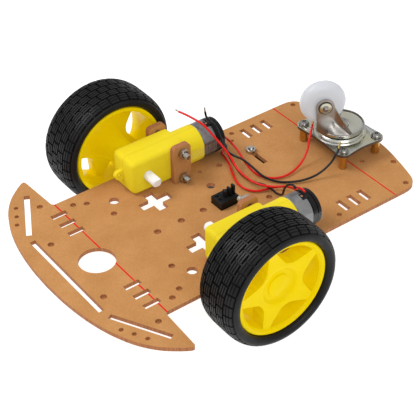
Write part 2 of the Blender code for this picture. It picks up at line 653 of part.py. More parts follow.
# Motor leads
WIRES = {
    "left_motor_lead_red": ("red_wire", [
        (-38.0, 52.4, 9.0), (-34.5, 52.6, 9.0), (-30.5, 53.2, 8.0),
        (-22.9, 53.0, 6.0), (-14.0, 51.2, 4.0), (-6.0, 52.1, 1.3),
        (1.5, 56.3, 1.2), (4.4, 64.3, 1.2), (2.6, 74.2, 2.2),
        (0.5, 80.9, 7.0), (-2.6, 85.1, 12.0), (-6.6, 90.3, 16.3),
    ]),
    "left_motor_lead_black": ("black_wire", [
        (-37.0, 52.4, 4.6), (-33.0, 52.4, 4.6), (-28.4, 49.6, 5.2),
        (-21.4, 47.6, 7.0), (-14.8, 49.6, 6.8), (-8.4, 50.9, 5.2),
        (-1.1, 52.3, 2.9), (4.6, 55.9, 1.3), (9.1, 60.4, 1.2),
        (13.1, 67.5, 1.5), (15.4, 75.9, 3.0), (16.8, 82.9, 7.5),
        (16.8, 87.2, 12.4), (15.9, 89.2, 13.6),
    ]),
    "right_motor_lead_red": ("red_wire", [
        (40.2, 45.7, 20.9), (36.8, 45.9, 20.7), (32.4, 46.8, 18.4),
        (27.0, 49.4, 13.6), (21.6, 51.6, 9.8), (16.6, 51.8, 7.0),
        (11.4, 48.4, 5.3), (6.3, 44.9, 5.1), (-0.1, 43.4, 4.7),
        (-7.8, 43.2, 5.2), (-13.1, 43.4, 6.6), (-17.7, 43.9, 9.2),
        (-22.4, 43.4, 12.2), (-28.4, 41.2, 17.6), (-35.6, 39.6, 21.6),
        (-43.0, 37.2, 23.4), (-48.6, 35.8, 23.6), (-51.2, 35.0, 23.6),
    ]),
    "right_motor_lead_black": ("black_wire", [
        (35.6, 43.6, 21.0), (33.4, 43.6, 21.9), (29.4, 43.9, 19.4),
        (25.6, 44.8, 14.4), (22.6, 45.9, 8.2), (17.0, 47.2, 4.8),
        (12.4, 48.3, 3.6), (8.4, 48.5, 3.2), (4.0, 48.2, 2.4),
        (0.0, 47.2, 1.4), (-6.6, 45.8, 1.2), (-12.4, 45.6, 1.8),
        (-17.2, 45.7, 4.0), (-21.0, 45.6, 7.0), (-24.6, 45.6, 10.4),
        (-27.4, 45.6, 13.8), (-30.6, 45.7, 17.9), (-34.2, 45.6, 20.6),
        (-37.4, 45.0, 21.4), (-39.3, 44.3, 23.0), (-39.8, 43.9, 26.4),
    ]),
    "motor_link_lead_red": ("red_wire", [
        (-34.5, 53.6, 1.2), (-33.8, 50.8, 1.2), (-31.6, 48.8, 1.2),
        (-27.6, 47.9, 1.3), (-21.7, 46.0, 1.3), (-15.2, 42.9, 1.3),
        (-8.9, 40.3, 1.2), (-3.4, 39.3, 1.2), (1.0, 40.0, 1.2),
        (4.8, 42.4, 1.2), (6.9, 46.6, 1.2), (8.4, 51.0, 1.5),
        (12.4, 55.2, 2.8), (17.2, 56.8, 4.0), (24.0, 56.2, 6.0),
        (30.4, 54.2, 7.2), (35.0, 52.4, 7.6),
    ]),
}
for name, (paint, keys) in WIRES.items():
    points = spline_points(keys, 4.2)
    curve = bpy.data.curves.new(name, "CURVE")
    curve.dimensions = "3D"
    curve.bevel_depth = WIRE_R * MM
    curve.bevel_resolution = 2
    curve.use_fill_caps = True
    spline = curve.splines.new("POLY")
    spline.points.add(len(points) - 1)
    for point, p in zip(spline.points, points):
        point.co = (*(p * MM), 1)
    wire = bpy.data.objects.new(name, curve)
    bpy.context.scene.collection.objects.link(wire)
    place(wire, paint)
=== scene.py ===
"""Looks of the two wheel robot car kit: plate in kraft paper, geared motors, wheels, swivel caster and leads.

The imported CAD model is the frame. Sizes below are millimetres from the middle of the drive axle (X across,
Y towards the caster) and from the chassis plate's top face (Z), as in the CAD source.
"""

from math import asin, copysign, cos, hypot, pi, radians, sin

import bmesh
import bpy
from mathutils import Matrix, Vector


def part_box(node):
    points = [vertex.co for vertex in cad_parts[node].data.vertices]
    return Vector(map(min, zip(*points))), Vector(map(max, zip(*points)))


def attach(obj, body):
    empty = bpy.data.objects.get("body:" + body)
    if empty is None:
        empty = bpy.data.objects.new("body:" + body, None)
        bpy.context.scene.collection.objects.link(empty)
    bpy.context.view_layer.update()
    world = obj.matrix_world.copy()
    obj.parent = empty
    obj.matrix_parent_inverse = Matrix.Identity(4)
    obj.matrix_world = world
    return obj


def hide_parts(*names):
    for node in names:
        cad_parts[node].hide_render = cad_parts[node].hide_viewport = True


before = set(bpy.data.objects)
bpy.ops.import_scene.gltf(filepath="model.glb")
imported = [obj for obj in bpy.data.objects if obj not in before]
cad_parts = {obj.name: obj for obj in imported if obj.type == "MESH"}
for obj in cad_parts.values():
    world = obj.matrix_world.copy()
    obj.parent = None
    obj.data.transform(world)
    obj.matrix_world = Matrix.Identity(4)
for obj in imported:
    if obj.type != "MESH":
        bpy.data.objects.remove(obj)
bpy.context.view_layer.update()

MM = 0.001
shaft_low, shaft_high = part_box("right_output_shaft")
plate_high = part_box("chassis_plate")[1]
axle_mid = (shaft_low + shaft_high) / 2
ORIGIN = Vector((0, axle_mid.y, plate_high.z))
AXLE_Z = (axle_mid.z - plate_high.z) / MM

# ---- camera, light and floor

VIEW_AZIMUTH = radians(53.994)
VIEW_ELEVATION = radians(38.617)
VIEW_ROLL = radians(-1.009)
VIEW_DISTANCE = 0.63966
VIEW_TARGET = Vector((0.0020638, -0.006889, 0.0223))
LENS = 107.84
LAMP_TARGET = Vector((0, 0, 0.02))
SURROUND_STRENGTH = 0.76
FLOOR_HALF = 30.0
FLOOR_GLOW = 0.93


def link(obj):
    bpy.context.scene.collection.objects.link(obj)
    return obj


def set_inputs(node, **values):
    """Sets inputs of a shader node, whose names have underscores for spaces here."""
    for key, value in values.items():
        node.inputs[key.replace("_", " ")].default_value = value


def aim_camera():
    """The camera at the photographed viewing angle."""
    data = bpy.data.cameras.new("camera")
    data.sensor_width = 36
    data.lens = LENS
    data.clip_start = 0.01
    camera = link(bpy.data.objects.new("camera", data))
    flat = cos(VIEW_ELEVATION)
    back = Vector((sin(VIEW_AZIMUTH) * flat, -cos(VIEW_AZIMUTH) * flat, sin(VIEW_ELEVATION)))
    turn = back.to_track_quat("Z", "Y").to_matrix().to_4x4() @ Matrix.Rotation(VIEW_ROLL, 4, "Z")
    camera.matrix_world = Matrix.Translation(VIEW_TARGET + back * VIEW_DISTANCE) @ turn
    bpy.context.scene.camera = camera


def area_light(name, place, size, power):
    """A round lamp that faces the car."""
    data = bpy.data.lights.new(name, "AREA")
    data.shape = "DISK"
    data.size = size
    data.energy = power
    light = link(bpy.data.objects.new(name, data))
    light.location = place
    light.rotation_euler = (LAMP_TARGET - Vector(place)).to_track_quat("-Z", "Y").to_euler()


def studio():
    """A lit white floor, a white surround that is dimmer low down, and two soft lamps."""
    scene = bpy.context.scene
    scene.view_settings.view_transform = "Standard"
    world = bpy.data.worlds.new("studio")
    scene.world = world
    world.use_nodes = True
    tree = world.node_tree
    coords = tree.nodes.new("ShaderNodeTexCoord")
    split = tree.nodes.new("ShaderNodeSeparateXYZ")
    ramp = tree.nodes.new("ShaderNodeValToRGB")
    low, high = ramp.color_ramp.elements
    low.position, low.color = 0.0, (0.50, 0.50, 0.51, 1)
    high.position, high.color = 0.55, (1, 1, 1, 1)
    tree.links.new(coords.outputs["Generated"], split.inputs[0])
    tree.links.new(split.outputs["Z"], ramp.inputs[0])
    tree.links.new(ramp.outputs[0], tree.nodes["Background"].inputs["Color"])
    set_inputs(tree.nodes["Background"], Strength=SURROUND_STRENGTH)
    area_light("key", (-0.35, -0.45, 0.75), 0.45, 4.4)
    area_light("fill", (0.65, -0.15, 0.50), 0.5, 1.9)
    mesh = bpy.data.meshes.new("floor")
    corners = [(FLOOR_HALF * x, FLOOR_HALF * y, 0) for x, y in ((-1, -1), (1, -1), (1, 1), (-1, 1))]
    mesh.from_pydata(corners, [], [(0, 1, 2, 3)])
    floor = link(bpy.data.objects.new("floor", mesh))
    pale = bpy.data.materials.new("floor")
    pale.use_nodes = True
    set_inputs(
        pale.node_tree.nodes["Principled BSDF"], Base_Color=(0.30, 0.30, 0.30, 1), Roughness=0.9,
        Specular_IOR_Level=0.0, Emission_Color=(1, 1, 1, 1), Emission_Strength=FLOOR_GLOW,
    )
    mesh.materials.append(pale)


aim_camera()
studio()

# ---- materials


class Paint:
    """A material being built from nodes, in the piece's own coordinates."""

    def __init__(self, name, rough=0.5, metal=0.0):
        self.mat = bpy.data.materials.new(name)
        self.mat.use_nodes = True
        self.tree = self.mat.node_tree
        self.shader = self.tree.nodes["Principled BSDF"]
        set_inputs(self.shader, Roughness=rough, Metallic=metal)
        self.coords = self.node("ShaderNodeTexCoord").outputs["Object"]

    def node(self, kind, **values):
        made = self.tree.nodes.new(kind)
        for key, value in values.items():
            setattr(made, key, value)
        return made

    def link(self, out, into):
        self.tree.links.new(out, into)

    def feed(self, socket, value):
        """Links the value if it is another node's output, or else sets it as a constant."""
        if isinstance(value, bpy.types.NodeSocket):
            self.link(value, socket)
        else:
            socket.default_value = (*value, 1) if isinstance(value, tuple) else value

    def noise(self, scale, stretch=(1, 1, 1), detail=4.0):
        """A noise value, with the number of features to a metre in scale."""
        mapping = self.node("ShaderNodeMapping")
        set_inputs(mapping, Scale=stretch)
        texture = self.node("ShaderNodeTexNoise")
        set_inputs(texture, Scale=scale, Detail=detail, Roughness=0.55)
        self.link(self.coords, mapping.inputs[0])
        self.link(mapping.outputs[0], texture.inputs["Vector"])
        return texture.outputs["Fac"]

    def ramp(self, value, *stops):
        """A colour or grey read off the value: (position, colour) stops."""
        made = self.node("ShaderNodeValToRGB")
        elements = made.color_ramp.elements
        while len(elements) < len(stops):
            elements.new(0.5)
        for element, (position, colour) in zip(elements, stops):
            element.position = position
            element.color = (*colour, 1) if isinstance(colour, tuple) else (colour, colour, colour, 1)
        self.link(value, made.inputs[0])
        return made.outputs[0]

    def mix(self, share, a, b, blend="MIX"):
        made = self.node("ShaderNodeMix", data_type="RGBA", blend_type=blend)
        for index, value in ((0, share), (6, a), (7, b)):
            self.feed(made.inputs[index], value)
        return made.outputs[2]

    def math(self, operation, a, b=0.0):
        made = self.node("ShaderNodeMath", operation=operation)
        for socket, value in zip(made.inputs, (a, b)):
            self.feed(socket, value)
        return made.outputs[0]

    def colour(self, value):
        self.feed(self.shader.inputs["Base Color"], value)

    def roughness(self, value):
        self.link(value, self.shader.inputs["Roughness"])

    def bump(self, height, strength, distance=0.0002):
        made = self.node("ShaderNodeBump")
        set_inputs(made, Strength=strength, Distance=distance)
        self.link(height, made.inputs["Height"])
        self.link(made.outputs[0], self.shader.inputs["Normal"])

    def set(self, **values):
        set_inputs(self.shader, **values)
        return self.mat


RED_LINE_Y = (-45.0, 98.7)
RED_LINE_HALF_W = 0.42


def kraft_paper(name, with_lines=False):
    """Brown protective paper: mottled pulp with short fibres, and the sheet's printed red guide lines."""
    p = Paint(name, 0.72)
    pulp = p.ramp(p.noise(55, detail=5), (0.30, (0.455, 0.208, 0.066)), (0.70, (0.535, 0.262, 0.094)))
    fibre = p.ramp(p.noise(420, (1, 5, 1), 3), (0.42, 0.80), (0.60, 1.0))
    speck = p.ramp(p.noise(1900, detail=2), (0.30, 0.78), (0.42, 1.0))
    colour = p.mix(0.55, pulp, fibre, "MULTIPLY")
    colour = p.mix(0.50, colour, speck, "MULTIPLY")
    if with_lines:
        split = p.node("ShaderNodeSeparateXYZ")
        p.link(p.coords, split.inputs[0])
        near = []
        for y in RED_LINE_Y:
            away = p.math("ABSOLUTE", p.math("SUBTRACT", split.outputs["Y"], y * MM))
            near.append(p.math("LESS_THAN", away, RED_LINE_HALF_W * MM))
        worn = p.ramp(p.noise(300, detail=3), (0.25, 0.70), (0.5, 1.0))
        line = p.math("MULTIPLY", p.math("MAXIMUM", *near), worn)
        inside = p.math("LESS_THAN", p.math("ABSOLUTE", split.outputs["X"]), 0.0505)
        colour = p.mix(p.math("MULTIPLY", line, inside), colour, (0.62, 0.012, 0.010))
    p.colour(colour)
    p.roughness(p.ramp(p.noise(200), (0.3, 0.62), (0.7, 0.80)))
    p.bump(p.noise(900, (1, 3, 1), 5), 0.25)
    return p.set(Specular_IOR_Level=0.15)


def cut_edge(name):
    """The laser-cut side of the sheet: browned, with fine upright marks, and a faint painted glow (emission)
    that lightens it.
    """
    p = Paint(name, 0.5)
    marks = p.noise(1500, (1, 1, 0.06), 2)
    p.colour(p.ramp(marks, (0.30, (0.200, 0.074, 0.026)), (0.70, (0.380, 0.160, 0.070))))
    p.bump(marks, 0.3)
    # The emission here is a painted glow that lightens the browned sides.
    return p.set(Specular_IOR_Level=0.12, Emission_Color=(0.36, 0.14, 0.05, 1), Emission_Strength=0.22)


def plastic(name, rgb, shade, rough, patches, grains, relief):
    """Plastic in a colour and a shade of it, with so many patches and so many grains to a metre."""
    p = Paint(name, rough)
    p.colour(p.ramp(p.noise(patches, detail=3), (0.3, tuple(c * shade for c in rgb)), (0.7, rgb)))
    p.bump(p.noise(grains, detail=2), relief, 0.0001)
    return p


def moulded(name, rgb, rough=0.38, grain=0.12, shade=0.93, gloss=0.3, **more):
    """Moulded plastic: a little unevenness in colour and gloss, and a fine grain."""
    p = plastic(name, rgb, shade, rough, 60, 2400, grain)
    p.roughness(p.ramp(p.noise(240), (0.3, rough - 0.05), (0.7, rough + 0.07)))
    return p.set(Specular_IOR_Level=gloss, **more)


def yellow_plastic(name, rgb=(0.65, 0.482, 0.0005), rough=0.20, glow=0.28):
    """Yellow ABS, which lets a little light in and through, with a painted glow: emission in its own colour
    that brightens it as if lit.
    """
    return moulded(
        name, rgb, rough, 0.06, 0.96, 0.04, Emission_Color=(*rgb, 1), Emission_Strength=glow,
        Subsurface_Weight=0.30, Subsurface_Radius=(0.004, 0.003, 0.0002),
    )


def rubber(name):
    """Black rubber with a dusty bloom and mould texture."""
    p = Paint(name, 0.55)
    p.colour(p.ramp(p.noise(90, detail=5), (0.35, (0.004, 0.004, 0.0045)), (0.75, (0.010, 0.010, 0.011))))
    p.roughness(p.ramp(p.noise(350), (0.3, 0.34), (0.7, 0.52)))
    p.bump(p.noise(1400, detail=4), 0.22)
    return p.set(Specular_IOR_Level=0.20)


def bare_metal(name, rgb, tint=None, rough=0.28, stretch=(1, 1, 1), scale=300, grain=0.10):
    """Metal with drawn or plated unevenness in colour and gloss."""
    p = Paint(name, rough, 1.0)
    tint = tint or tuple(c * 0.85 for c in rgb)
    p.colour(p.ramp(p.noise(scale / 4, detail=4), (0.32, tint), (0.68, rgb)))
    p.roughness(p.ramp(p.noise(scale, stretch), (0.3, rough * 0.75), (0.7, rough * 1.35)))
    p.bump(p.noise(scale * 4, stretch, 3), grain, 0.0001)
    return p.mat


def nylon(name, rgb, through=0.0):
    """Natural nylon: milky, with light let in, slightly see-through where it is thin, and there with a
    painted glow (emission) as strong as it is see-through.
    """
    return plastic(name, rgb, 0.95, 0.32, 80, 900, 0.06).set(
        Subsurface_Weight=0.35, Subsurface_Radius=(0.003, 0.003, 0.003), Specular_IOR_Level=0.3, IOR=1.45,
        Transmission_Weight=through, Emission_Color=(0.95, 0.96, 1.0, 1), Emission_Strength=2.2 * through,
    )


def clear_plastic(name):
    """A clear band with faint moulding waves."""
    p = Paint(name, 0.12)
    p.colour(p.ramp(p.noise(150), (0.3, (0.80, 0.83, 0.85)), (0.7, (0.90, 0.92, 0.94))))
    p.bump(p.noise(120, detail=1), 0.03, 0.0001)
    return p.set(Alpha=0.03, Specular_IOR_Level=0.3)


def wire_skin(name, rgb):
    """PVC insulation, slightly uneven and glossy."""
    return plastic(name, rgb, 0.85, 0.32, 160, 1200, 0.10).set(Specular_IOR_Level=0.25)


KRAFT = kraft_paper("kraft_paper")
KRAFT_LINED = kraft_paper("kraft_paper_with_lines", True)
EDGE = cut_edge("laser_cut_edge")
# The yellow case and rim both carry a painted glow (emission), the rim the stronger.
YELLOW_CASE = yellow_plastic("yellow_case", (0.66, 0.525, 0.018), 0.36, 0.19)
YELLOW_RIM = yellow_plastic("yellow_rim")
RUBBER = rubber("tyre_rubber")
BLACK = moulded("black_plastic", (0.007, 0.007, 0.008), 0.38, 0.2, 0.6, 0.2)
STEEL = bare_metal("plated_steel", (0.56, 0.54, 0.50), (0.40, 0.38, 0.35), 0.24)
CAN = bare_metal("motor_can_steel", (0.32, 0.32, 0.32), (0.21, 0.21, 0.215), 0.46, (1, 1, 1), 900, 0.25)
# The fork's grey steel, with a brown cast that is a painted reflection of the kraft plate.
FORK = bare_metal("pressed_fork", (0.44, 0.42, 0.39), (0.27, 0.25, 0.23), 0.33, (1, 1, 0.12), 420)
ZINC = bare_metal("zinc_plate", (0.56, 0.59, 0.59), (0.50, 0.47, 0.33), 0.24, (1, 1, 1), 180)
# Painted shade: a dark metal for the caster plate's sides, standing in for the shade and dark reflection
# there.
PLATE_SIDE_SHADE = bare_metal("painted_shade_plate_side", (0.16, 0.13, 0.10), None, 0.45)
# Painted shade: near-black for the screws' cross recesses and the dark ring round the caster axle's washer.
RECESS_AND_RING_SHADE = moulded("painted_recess_shade", (0.03, 0.027, 0.024), 0.5)
SCREW = bare_metal("screw_steel", (0.36, 0.355, 0.34), (0.22, 0.21, 0.19), 0.28)
GILT = bare_metal("gilt_wire", (0.62, 0.42, 0.10), None, 0.35)
BRASS = bare_metal("brass", (0.66, 0.42, 0.13), (0.55, 0.32, 0.08), 0.30, (1, 1, 0.05), 900)
COPPER = bare_metal("copper_strand", (0.80, 0.44, 0.22), None, 0.3)
TINNED = bare_metal("tinned_strand", (0.75, 0.74, 0.72), None, 0.3)
NYLON = nylon("shaft_nylon", (0.84, 0.83, 0.81))
# The caster wheel is slightly see-through, so it also carries a painted glow.
WHEEL_NYLON = nylon("caster_nylon", (0.43, 0.44, 0.465), 0.10)
CLEAR = clear_plastic("clear_band")
RED_WIRE = wire_skin("red_insulation", (0.68, 0.006, 0.003))
BLACK_WIRE = wire_skin("black_insulation", (0.006, 0.008, 0.010))

# ---- mesh helpers

AXES = {"X": Matrix.Rotation(pi / 2, 4, "Y"), "Y": Matrix.Rotation(-pi / 2, 4, "X"), "Z": Matrix()}
MIRROR_X = Matrix.Scale(-1, 4, (1, 0, 0))


def polar(radius, degrees):
    return radius * cos(radians(degrees)), radius * sin(radians(degrees))


def from_bmesh(name, bm):
    bmesh.ops.recalc_face_normals(bm, faces=bm.faces)
    mesh = bpy.data.meshes.new(name)
    bm.to_mesh(mesh)
    bm.free()
    return link(bpy.data.objects.new(name, mesh))


def box(name, low, high, bevel=0.0, segments=3):
    """A block between two corners, with rounded edges if asked."""
    bm = bmesh.new()
    bmesh.ops.create_cube(bm, size=1)
    bmesh.ops.scale(bm, vec=(Vector(high) - Vector(low)) * MM, verts=bm.verts)
    bmesh.ops.translate(bm, vec=(Vector(high) + Vector(low)) / 2 * MM, verts=bm.verts)
    if bevel:
        edges = bm.edges[:]
        bmesh.ops.bevel(bm, geom=edges, offset=bevel * MM, segments=segments, profile=0.5, affect="EDGES")
    return from_bmesh(name, bm)


def rod(name, radius, start, length, axis, segments=32):
    """A straight round bar from start along +axis."""
    bm = bmesh.new()
    middle = Matrix.Translation((0, 0, length * MM / 2))
    matrix = Matrix.Translation(Vector(start) * MM) @ AXES[axis] @ middle
    r = radius * MM
    bmesh.ops.create_cone(
        bm, cap_ends=True, segments=segments, radius1=r, radius2=r, depth=length * MM, matrix=matrix,
    )
    return from_bmesh(name, bm)


def turned(name, profile, axis="Z", segments=48):
    """A closed (radius, height) profile spun about the axis."""
    bm = bmesh.new()
    rings = []
    for r, z in profile:
        if r == 0:
            rings.append([bm.verts.new((0, 0, z * MM))])
            continue
        spokes = [polar(r, 360 * i / segments) for i in range(segments)]
        rings.append([bm.verts.new((x * MM, y * MM, z * MM)) for x, y in spokes])
    pairs = list(zip(rings, rings[1:]))
    if len(rings[0]) > 1:
        pairs.append((rings[-1], rings[0]))
    for a, b in pairs:
        for i in range(segments):
            j = (i + 1) % segments
            corners = list(dict.fromkeys((a[i % len(a)], a[j % len(a)], b[j % len(b)], b[i % len(b)])))
            if len(corners) > 2:
                bm.faces.new(corners)
    obj = from_bmesh(name, bm)
    obj.data.transform(AXES[axis])
    return obj


def mirrored(half):
    """A closed (radius, height) profile from its upper half, which goes from the top down."""
    return [*half, *[(r, -z) for r, z in reversed(half) if z]]


def meshed(source):
    """The evaluated shape of an object as a mesh object that replaces it."""
    bpy.context.view_layer.update()
    graph = bpy.context.evaluated_depsgraph_get()
    mesh = bpy.data.meshes.new_from_object(source.evaluated_get(graph))
    bm = bmesh.new()
    bm.from_mesh(mesh)
    bmesh.ops.remove_doubles(bm, verts=bm.verts, dist=0.000001)
    bmesh.ops.recalc_face_normals(bm, faces=bm.faces)
    bm.to_mesh(mesh)
    bm.free()
    name = source.name
    bpy.data.objects.remove(source, do_unlink=True)
    return link(bpy.data.objects.new(name, mesh))


def outline(name, loops, low, high, plane="XY"):
    """A flat sheet from closed 2D loops, from low to high across its plane; an inner loop is a hole."""
    curve = bpy.data.curves.new(name, "CURVE")
    curve.dimensions = "2D"
    curve.fill_mode = "BOTH"
    curve.extrude = (high - low) / 2 * MM
    for loop in loops:
        spline = curve.splines.new("POLY")
        spline.points.add(len(loop) - 1)
        for point, (x, y) in zip(spline.points, loop):
            point.co = (x * MM, y * MM, 0, 1)
        spline.use_cyclic_u = True
    obj = meshed(link(bpy.data.objects.new(name, curve)))
    obj.data.transform(Matrix.Translation((0, 0, (low + high) / 2 * MM)))
    if plane == "YZ":
        obj.data.transform(Matrix(((0, 0, 1, 0), (1, 0, 0, 0), (0, 1, 0, 0), (0, 0, 0, 1))))
    return obj


def poly_curve(name, points, radius, resolution):
    """A round wire through the points."""
    curve = bpy.data.curves.new(name, "CURVE")
    curve.dimensions = "3D"
    curve.bevel_depth = radius * MM
    curve.bevel_resolution = resolution
    curve.use_fill_caps = True
    spline = curve.splines.new("POLY")
    spline.points.add(len(points) - 1)
    for point, p in zip(spline.points, points):
        point.co = (*(Vector(p) * MM), 1)
    return link(bpy.data.objects.new(name, curve))


def combine(obj, others, operation="DIFFERENCE"):
    """Cuts, joins or intersects obj with helper shapes, which are then removed."""
    for other in others:
        modifier = obj.modifiers.new(operation.title(), "BOOLEAN")
        modifier.operation = operation
        modifier.solver = "EXACT"
        modifier.object = other
    obj = meshed(obj)
    for other in others:
        bpy.data.objects.remove(other, do_unlink=True)
    return obj


def eased(obj, width, segments=2, angle=30):
    """Rounds the edges sharper than an angle."""
    bevel = obj.modifiers.new("Bevel", "BEVEL")
    bevel.width = width * MM
    bevel.segments = segments
    bevel.limit_method = "ANGLE"
    bevel.angle_limit = radians(angle)
    return obj


def smooth(obj, angle=35):
    obj.data.shade_smooth()
    obj.data.set_sharp_from_angle(angle=radians(angle))
    return obj


def circle(x, y, radius, count=24):
    spokes = [polar(radius, 360 * i / count) for i in range(count)]
    return [(x + dx, y + dy) for dx, dy in spokes]


def rect(x, y, half_x, half_y):
    return [(x + half_x * i, y + half_y * j) for i, j in ((-1, -1), (1, -1), (1, 1), (-1, 1))]


def rounded(low, high, radius, steps=8):
    """A rectangle with round corners."""
    x0, y0, x1, y1 = low[0] + radius, low[1] + radius, high[0] - radius, high[1] - radius
    loop = []
    for quarter, (x, y) in enumerate(((x1, y1), (x0, y1), (x0, y0), (x1, y0))):
        for i in range(steps + 1):
            dx, dy = polar(radius, 90 * (quarter + i / steps))
            loop.append((x + dx, y + dy))
    return loop


def spline_points(keys, step):
    """Points at about every step along a smooth curve through the keys."""
    keys = [Vector(k) for k in keys]
    ends = [2 * keys[0] - keys[1], *keys, 2 * keys[-1] - keys[-2]]
    points = []
    for a, b, c, d in zip(ends, ends[1:], ends[2:], ends[3:]):
        count = max(1, round((c - b).length / step))
        for i in range(count):
            t = i / count
            curve = (2 * a - 5 * b + 4 * c - d) * t**2 + (3 * b - a - 3 * c + d) * t**3
            points.append(0.5 * (2 * b + (c - a) * t + curve))
    return [*points, keys[-1]]


def piece(obj, mat, body="chassis", nodes=(), at=(0, 0, 0), turn=0.0):
    """Places a finished shape in the car, paints it, hangs it on its body, and hides the CAD nodes it stands
    for.
    """
    obj.data.materials.clear()
    for m in mat if isinstance(mat, tuple) else (mat,):
        obj.data.materials.append(m)
    obj.location = ORIGIN + Vector(at) * MM
    obj.rotation_euler = (0, 0, turn)
    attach(obj, body)
    if nodes:
        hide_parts(*([nodes] if isinstance(nodes, str) else nodes))
    return obj


def paint_faces(obj, choose):
    """Gives each face of a placed piece the material that choose picks by the face's middle and normal."""
    for face in obj.data.polygons:
        face.material_index = int(choose(face.center / MM, face.normal))


# ---- chassis plate

PLATE_T = 2.3
BODY_HALF_W = 50.2
BUMPER_HALF_W = 76.4
FRONT_Y = -79.5
REAR_Y = 124.5
PIVOT_Y = 104.2
STAND_X = 16.0
STAND_Y = (92.6, 115.8)
HOLDER_SCREWS = ((-25.0, 63.3), (7.5, 35.3))
HOLDER_MID = -8.3
GAP = 0.3
# Painted shade: the top of the brown discs in the small holes.
HOLE_SHADE_TOP = -1.3


def slot_loop(x0, y0, x1, y1, half_w):
    """A straight slot with square ends between two points."""
    length = hypot(x1 - x0, y1 - y0)
    nx, ny = -(y1 - y0) / length * half_w, (x1 - x0) / length * half_w
    return [(x0 + nx, y0 + ny), (x0 - nx, y0 - ny), (x1 - nx, y1 - ny), (x1 + nx, y1 + ny)]


def plus_loop(x, y, arm_x, arm_y, w):
    """A plus-shaped hole, with arms of half width w."""
    half = ((arm_x, -w), (arm_x, w), (w, w), (w, arm_y), (-w, arm_y), (-w, w))
    return [(x + s * dx, y + s * dy) for s in (1, -1) for dx, dy in half]


def chassis_plate():
    """The acrylic sheet in its paper, with every slot and hole, and browned laser-cut sides."""
    front = [(0, FRONT_Y), (16, -78.8), (32, -76.6), (46, -72.9), (58, -67.6), (67, -61.0)]
    front = spline_points([*front, (73.4, -53.6), (76.0, -49.6)], 2.0)
    tip = [(BUMPER_HALF_W, -48.2), (BUMPER_HALF_W - 0.9, -47.4), (51.4, -46.1), (BODY_HALF_W, -45.0)]
    notch = [(BODY_HALF_W, 13.7), (48.8, 13.7), (48.8, 23.9), (BODY_HALF_W, 23.9)]
    rear = [(BODY_HALF_W, 105.5), (49.8, 109.4), (48.4, 112.6), (45.9, 114.9), (42.0, 116.6)]
    rear = spline_points([*rear, (30, 120.1), (16, 123.2), (0, REAR_Y)], 1.5)
    right = front + tip + notch + rear
    edge = right + [(-x, y) for x, y in reversed(right[1:-1])]
    holes = [circle(0, -51.1, 9.35, 64)]
    paired = (
        (34.1, -18.9, 2.7), (53.2, -51.8, 1.6), (23.9, -62.8, 1.7), (44.0, -37.5, 1.6), (40.8, -31.3, 1.6),
        (25.4, -24.7, 1.7), (59.5, -62.1, 1.2), (53.3, -65.3, 1.2), (47.4, -68.5, 1.2), (46.0, 110.0, 1.5),
        (28.5, 117.6, 1.6), (44.8, 65.2, 1.4), (18.0, 104.7, 1.4),
    )
    for x, y, r in paired:
        holes += [circle(x, y, r), circle(-x, y, r)]
    single = (
        (0, -15.4, 1.9), (0, -0.9, 1.9), (0, 12.9, 1.9), (-14, 28.1, 2.4), (-25.6, 42.2, 1.7),
        (12, 46.2, 1.7), (-27.1, 30.6, 1.0), (-39.2, 61.4, 1.0),
    )
    holes += [circle(x, y, r) for x, y, r in single]
    for side in (-1, 1):
        holes += [rect(side * x, -47.4, 1.55, 4.4) for x in (41.4, 33.2, 25.1)]
        holes += [rect(side * 40.2, y, 4.3, 1.6) for y in (71.7, 78.8, 85.9)]
        holes.append(slot_loop(side * 65.2, -52.6, side * 36.6, -67.9, 1.5))
        holes.append(plus_loop(side * 20.9, -2.2, 7.8, 9.0, 2.7))
        holes.append(rect(side * 28.2, 18.8, 1.8, 5.1))
        holes += [circle(side * STAND_X, y, 1.3, 16) for y in STAND_Y]
    holes += [rect(0, -68.9, 31.6, 1.5), rect(-17.6, 63.3, 5.2, 1.5), rect(1.6, 25.75, 4.7, 6.05)]
    holes += [circle(x, y, 1.7, 16) for x, y in HOLDER_SCREWS]
    plate = outline("plate_sheet", [edge, *holes], -PLATE_T, 0)
    piece(smooth(plate, 40), (KRAFT_LINED, EDGE), nodes="chassis_plate")
    paint_faces(plate, lambda middle, normal: abs(normal.z) <= 0.9)
    # Brown discs sunk below the surface in the small holes: painted shade for the shadow seen through them
    small = [hole for hole in (*paired, *single) if hole[2] < 2]
    small += [(-x, y, r) for x, y, r in paired if r < 2]
    shade_discs = outline("hole_shade_discs", [circle(x, y, r - 0.06) for x, y, r in small], 0.02 - PLATE_T, HOLE_SHADE_TOP)
    piece(smooth(shade_discs, 40), EDGE)


# ---- motors

CASE_IN_X = 30.0
CASE_OUT_X = 48.8
CASE_MID_X = (CASE_IN_X + CASE_OUT_X) / 2
CASE_Y0 = -9.2
CASE_Y1 = 24.8
NECK_Y1 = 36.0
CASE_HALF_H = 9.9
LUG_Y = CASE_Y0 - 2.0
LUG_Z = 9.2
LUG_R = 2.6
BOLT_Y = 19.5
BOLT_DZ = 7.6
BOLT_BORE = 1.7
CAN_R = 9.6
CAN_FLAT = 9.0
CAN_Y1 = 44.6
CAP_Y1 = 50.3


def across(side, a, b):
    """X from a to b on one side of the car, low end first."""
    return (min(side * a, side * b), max(side * a, side * b))


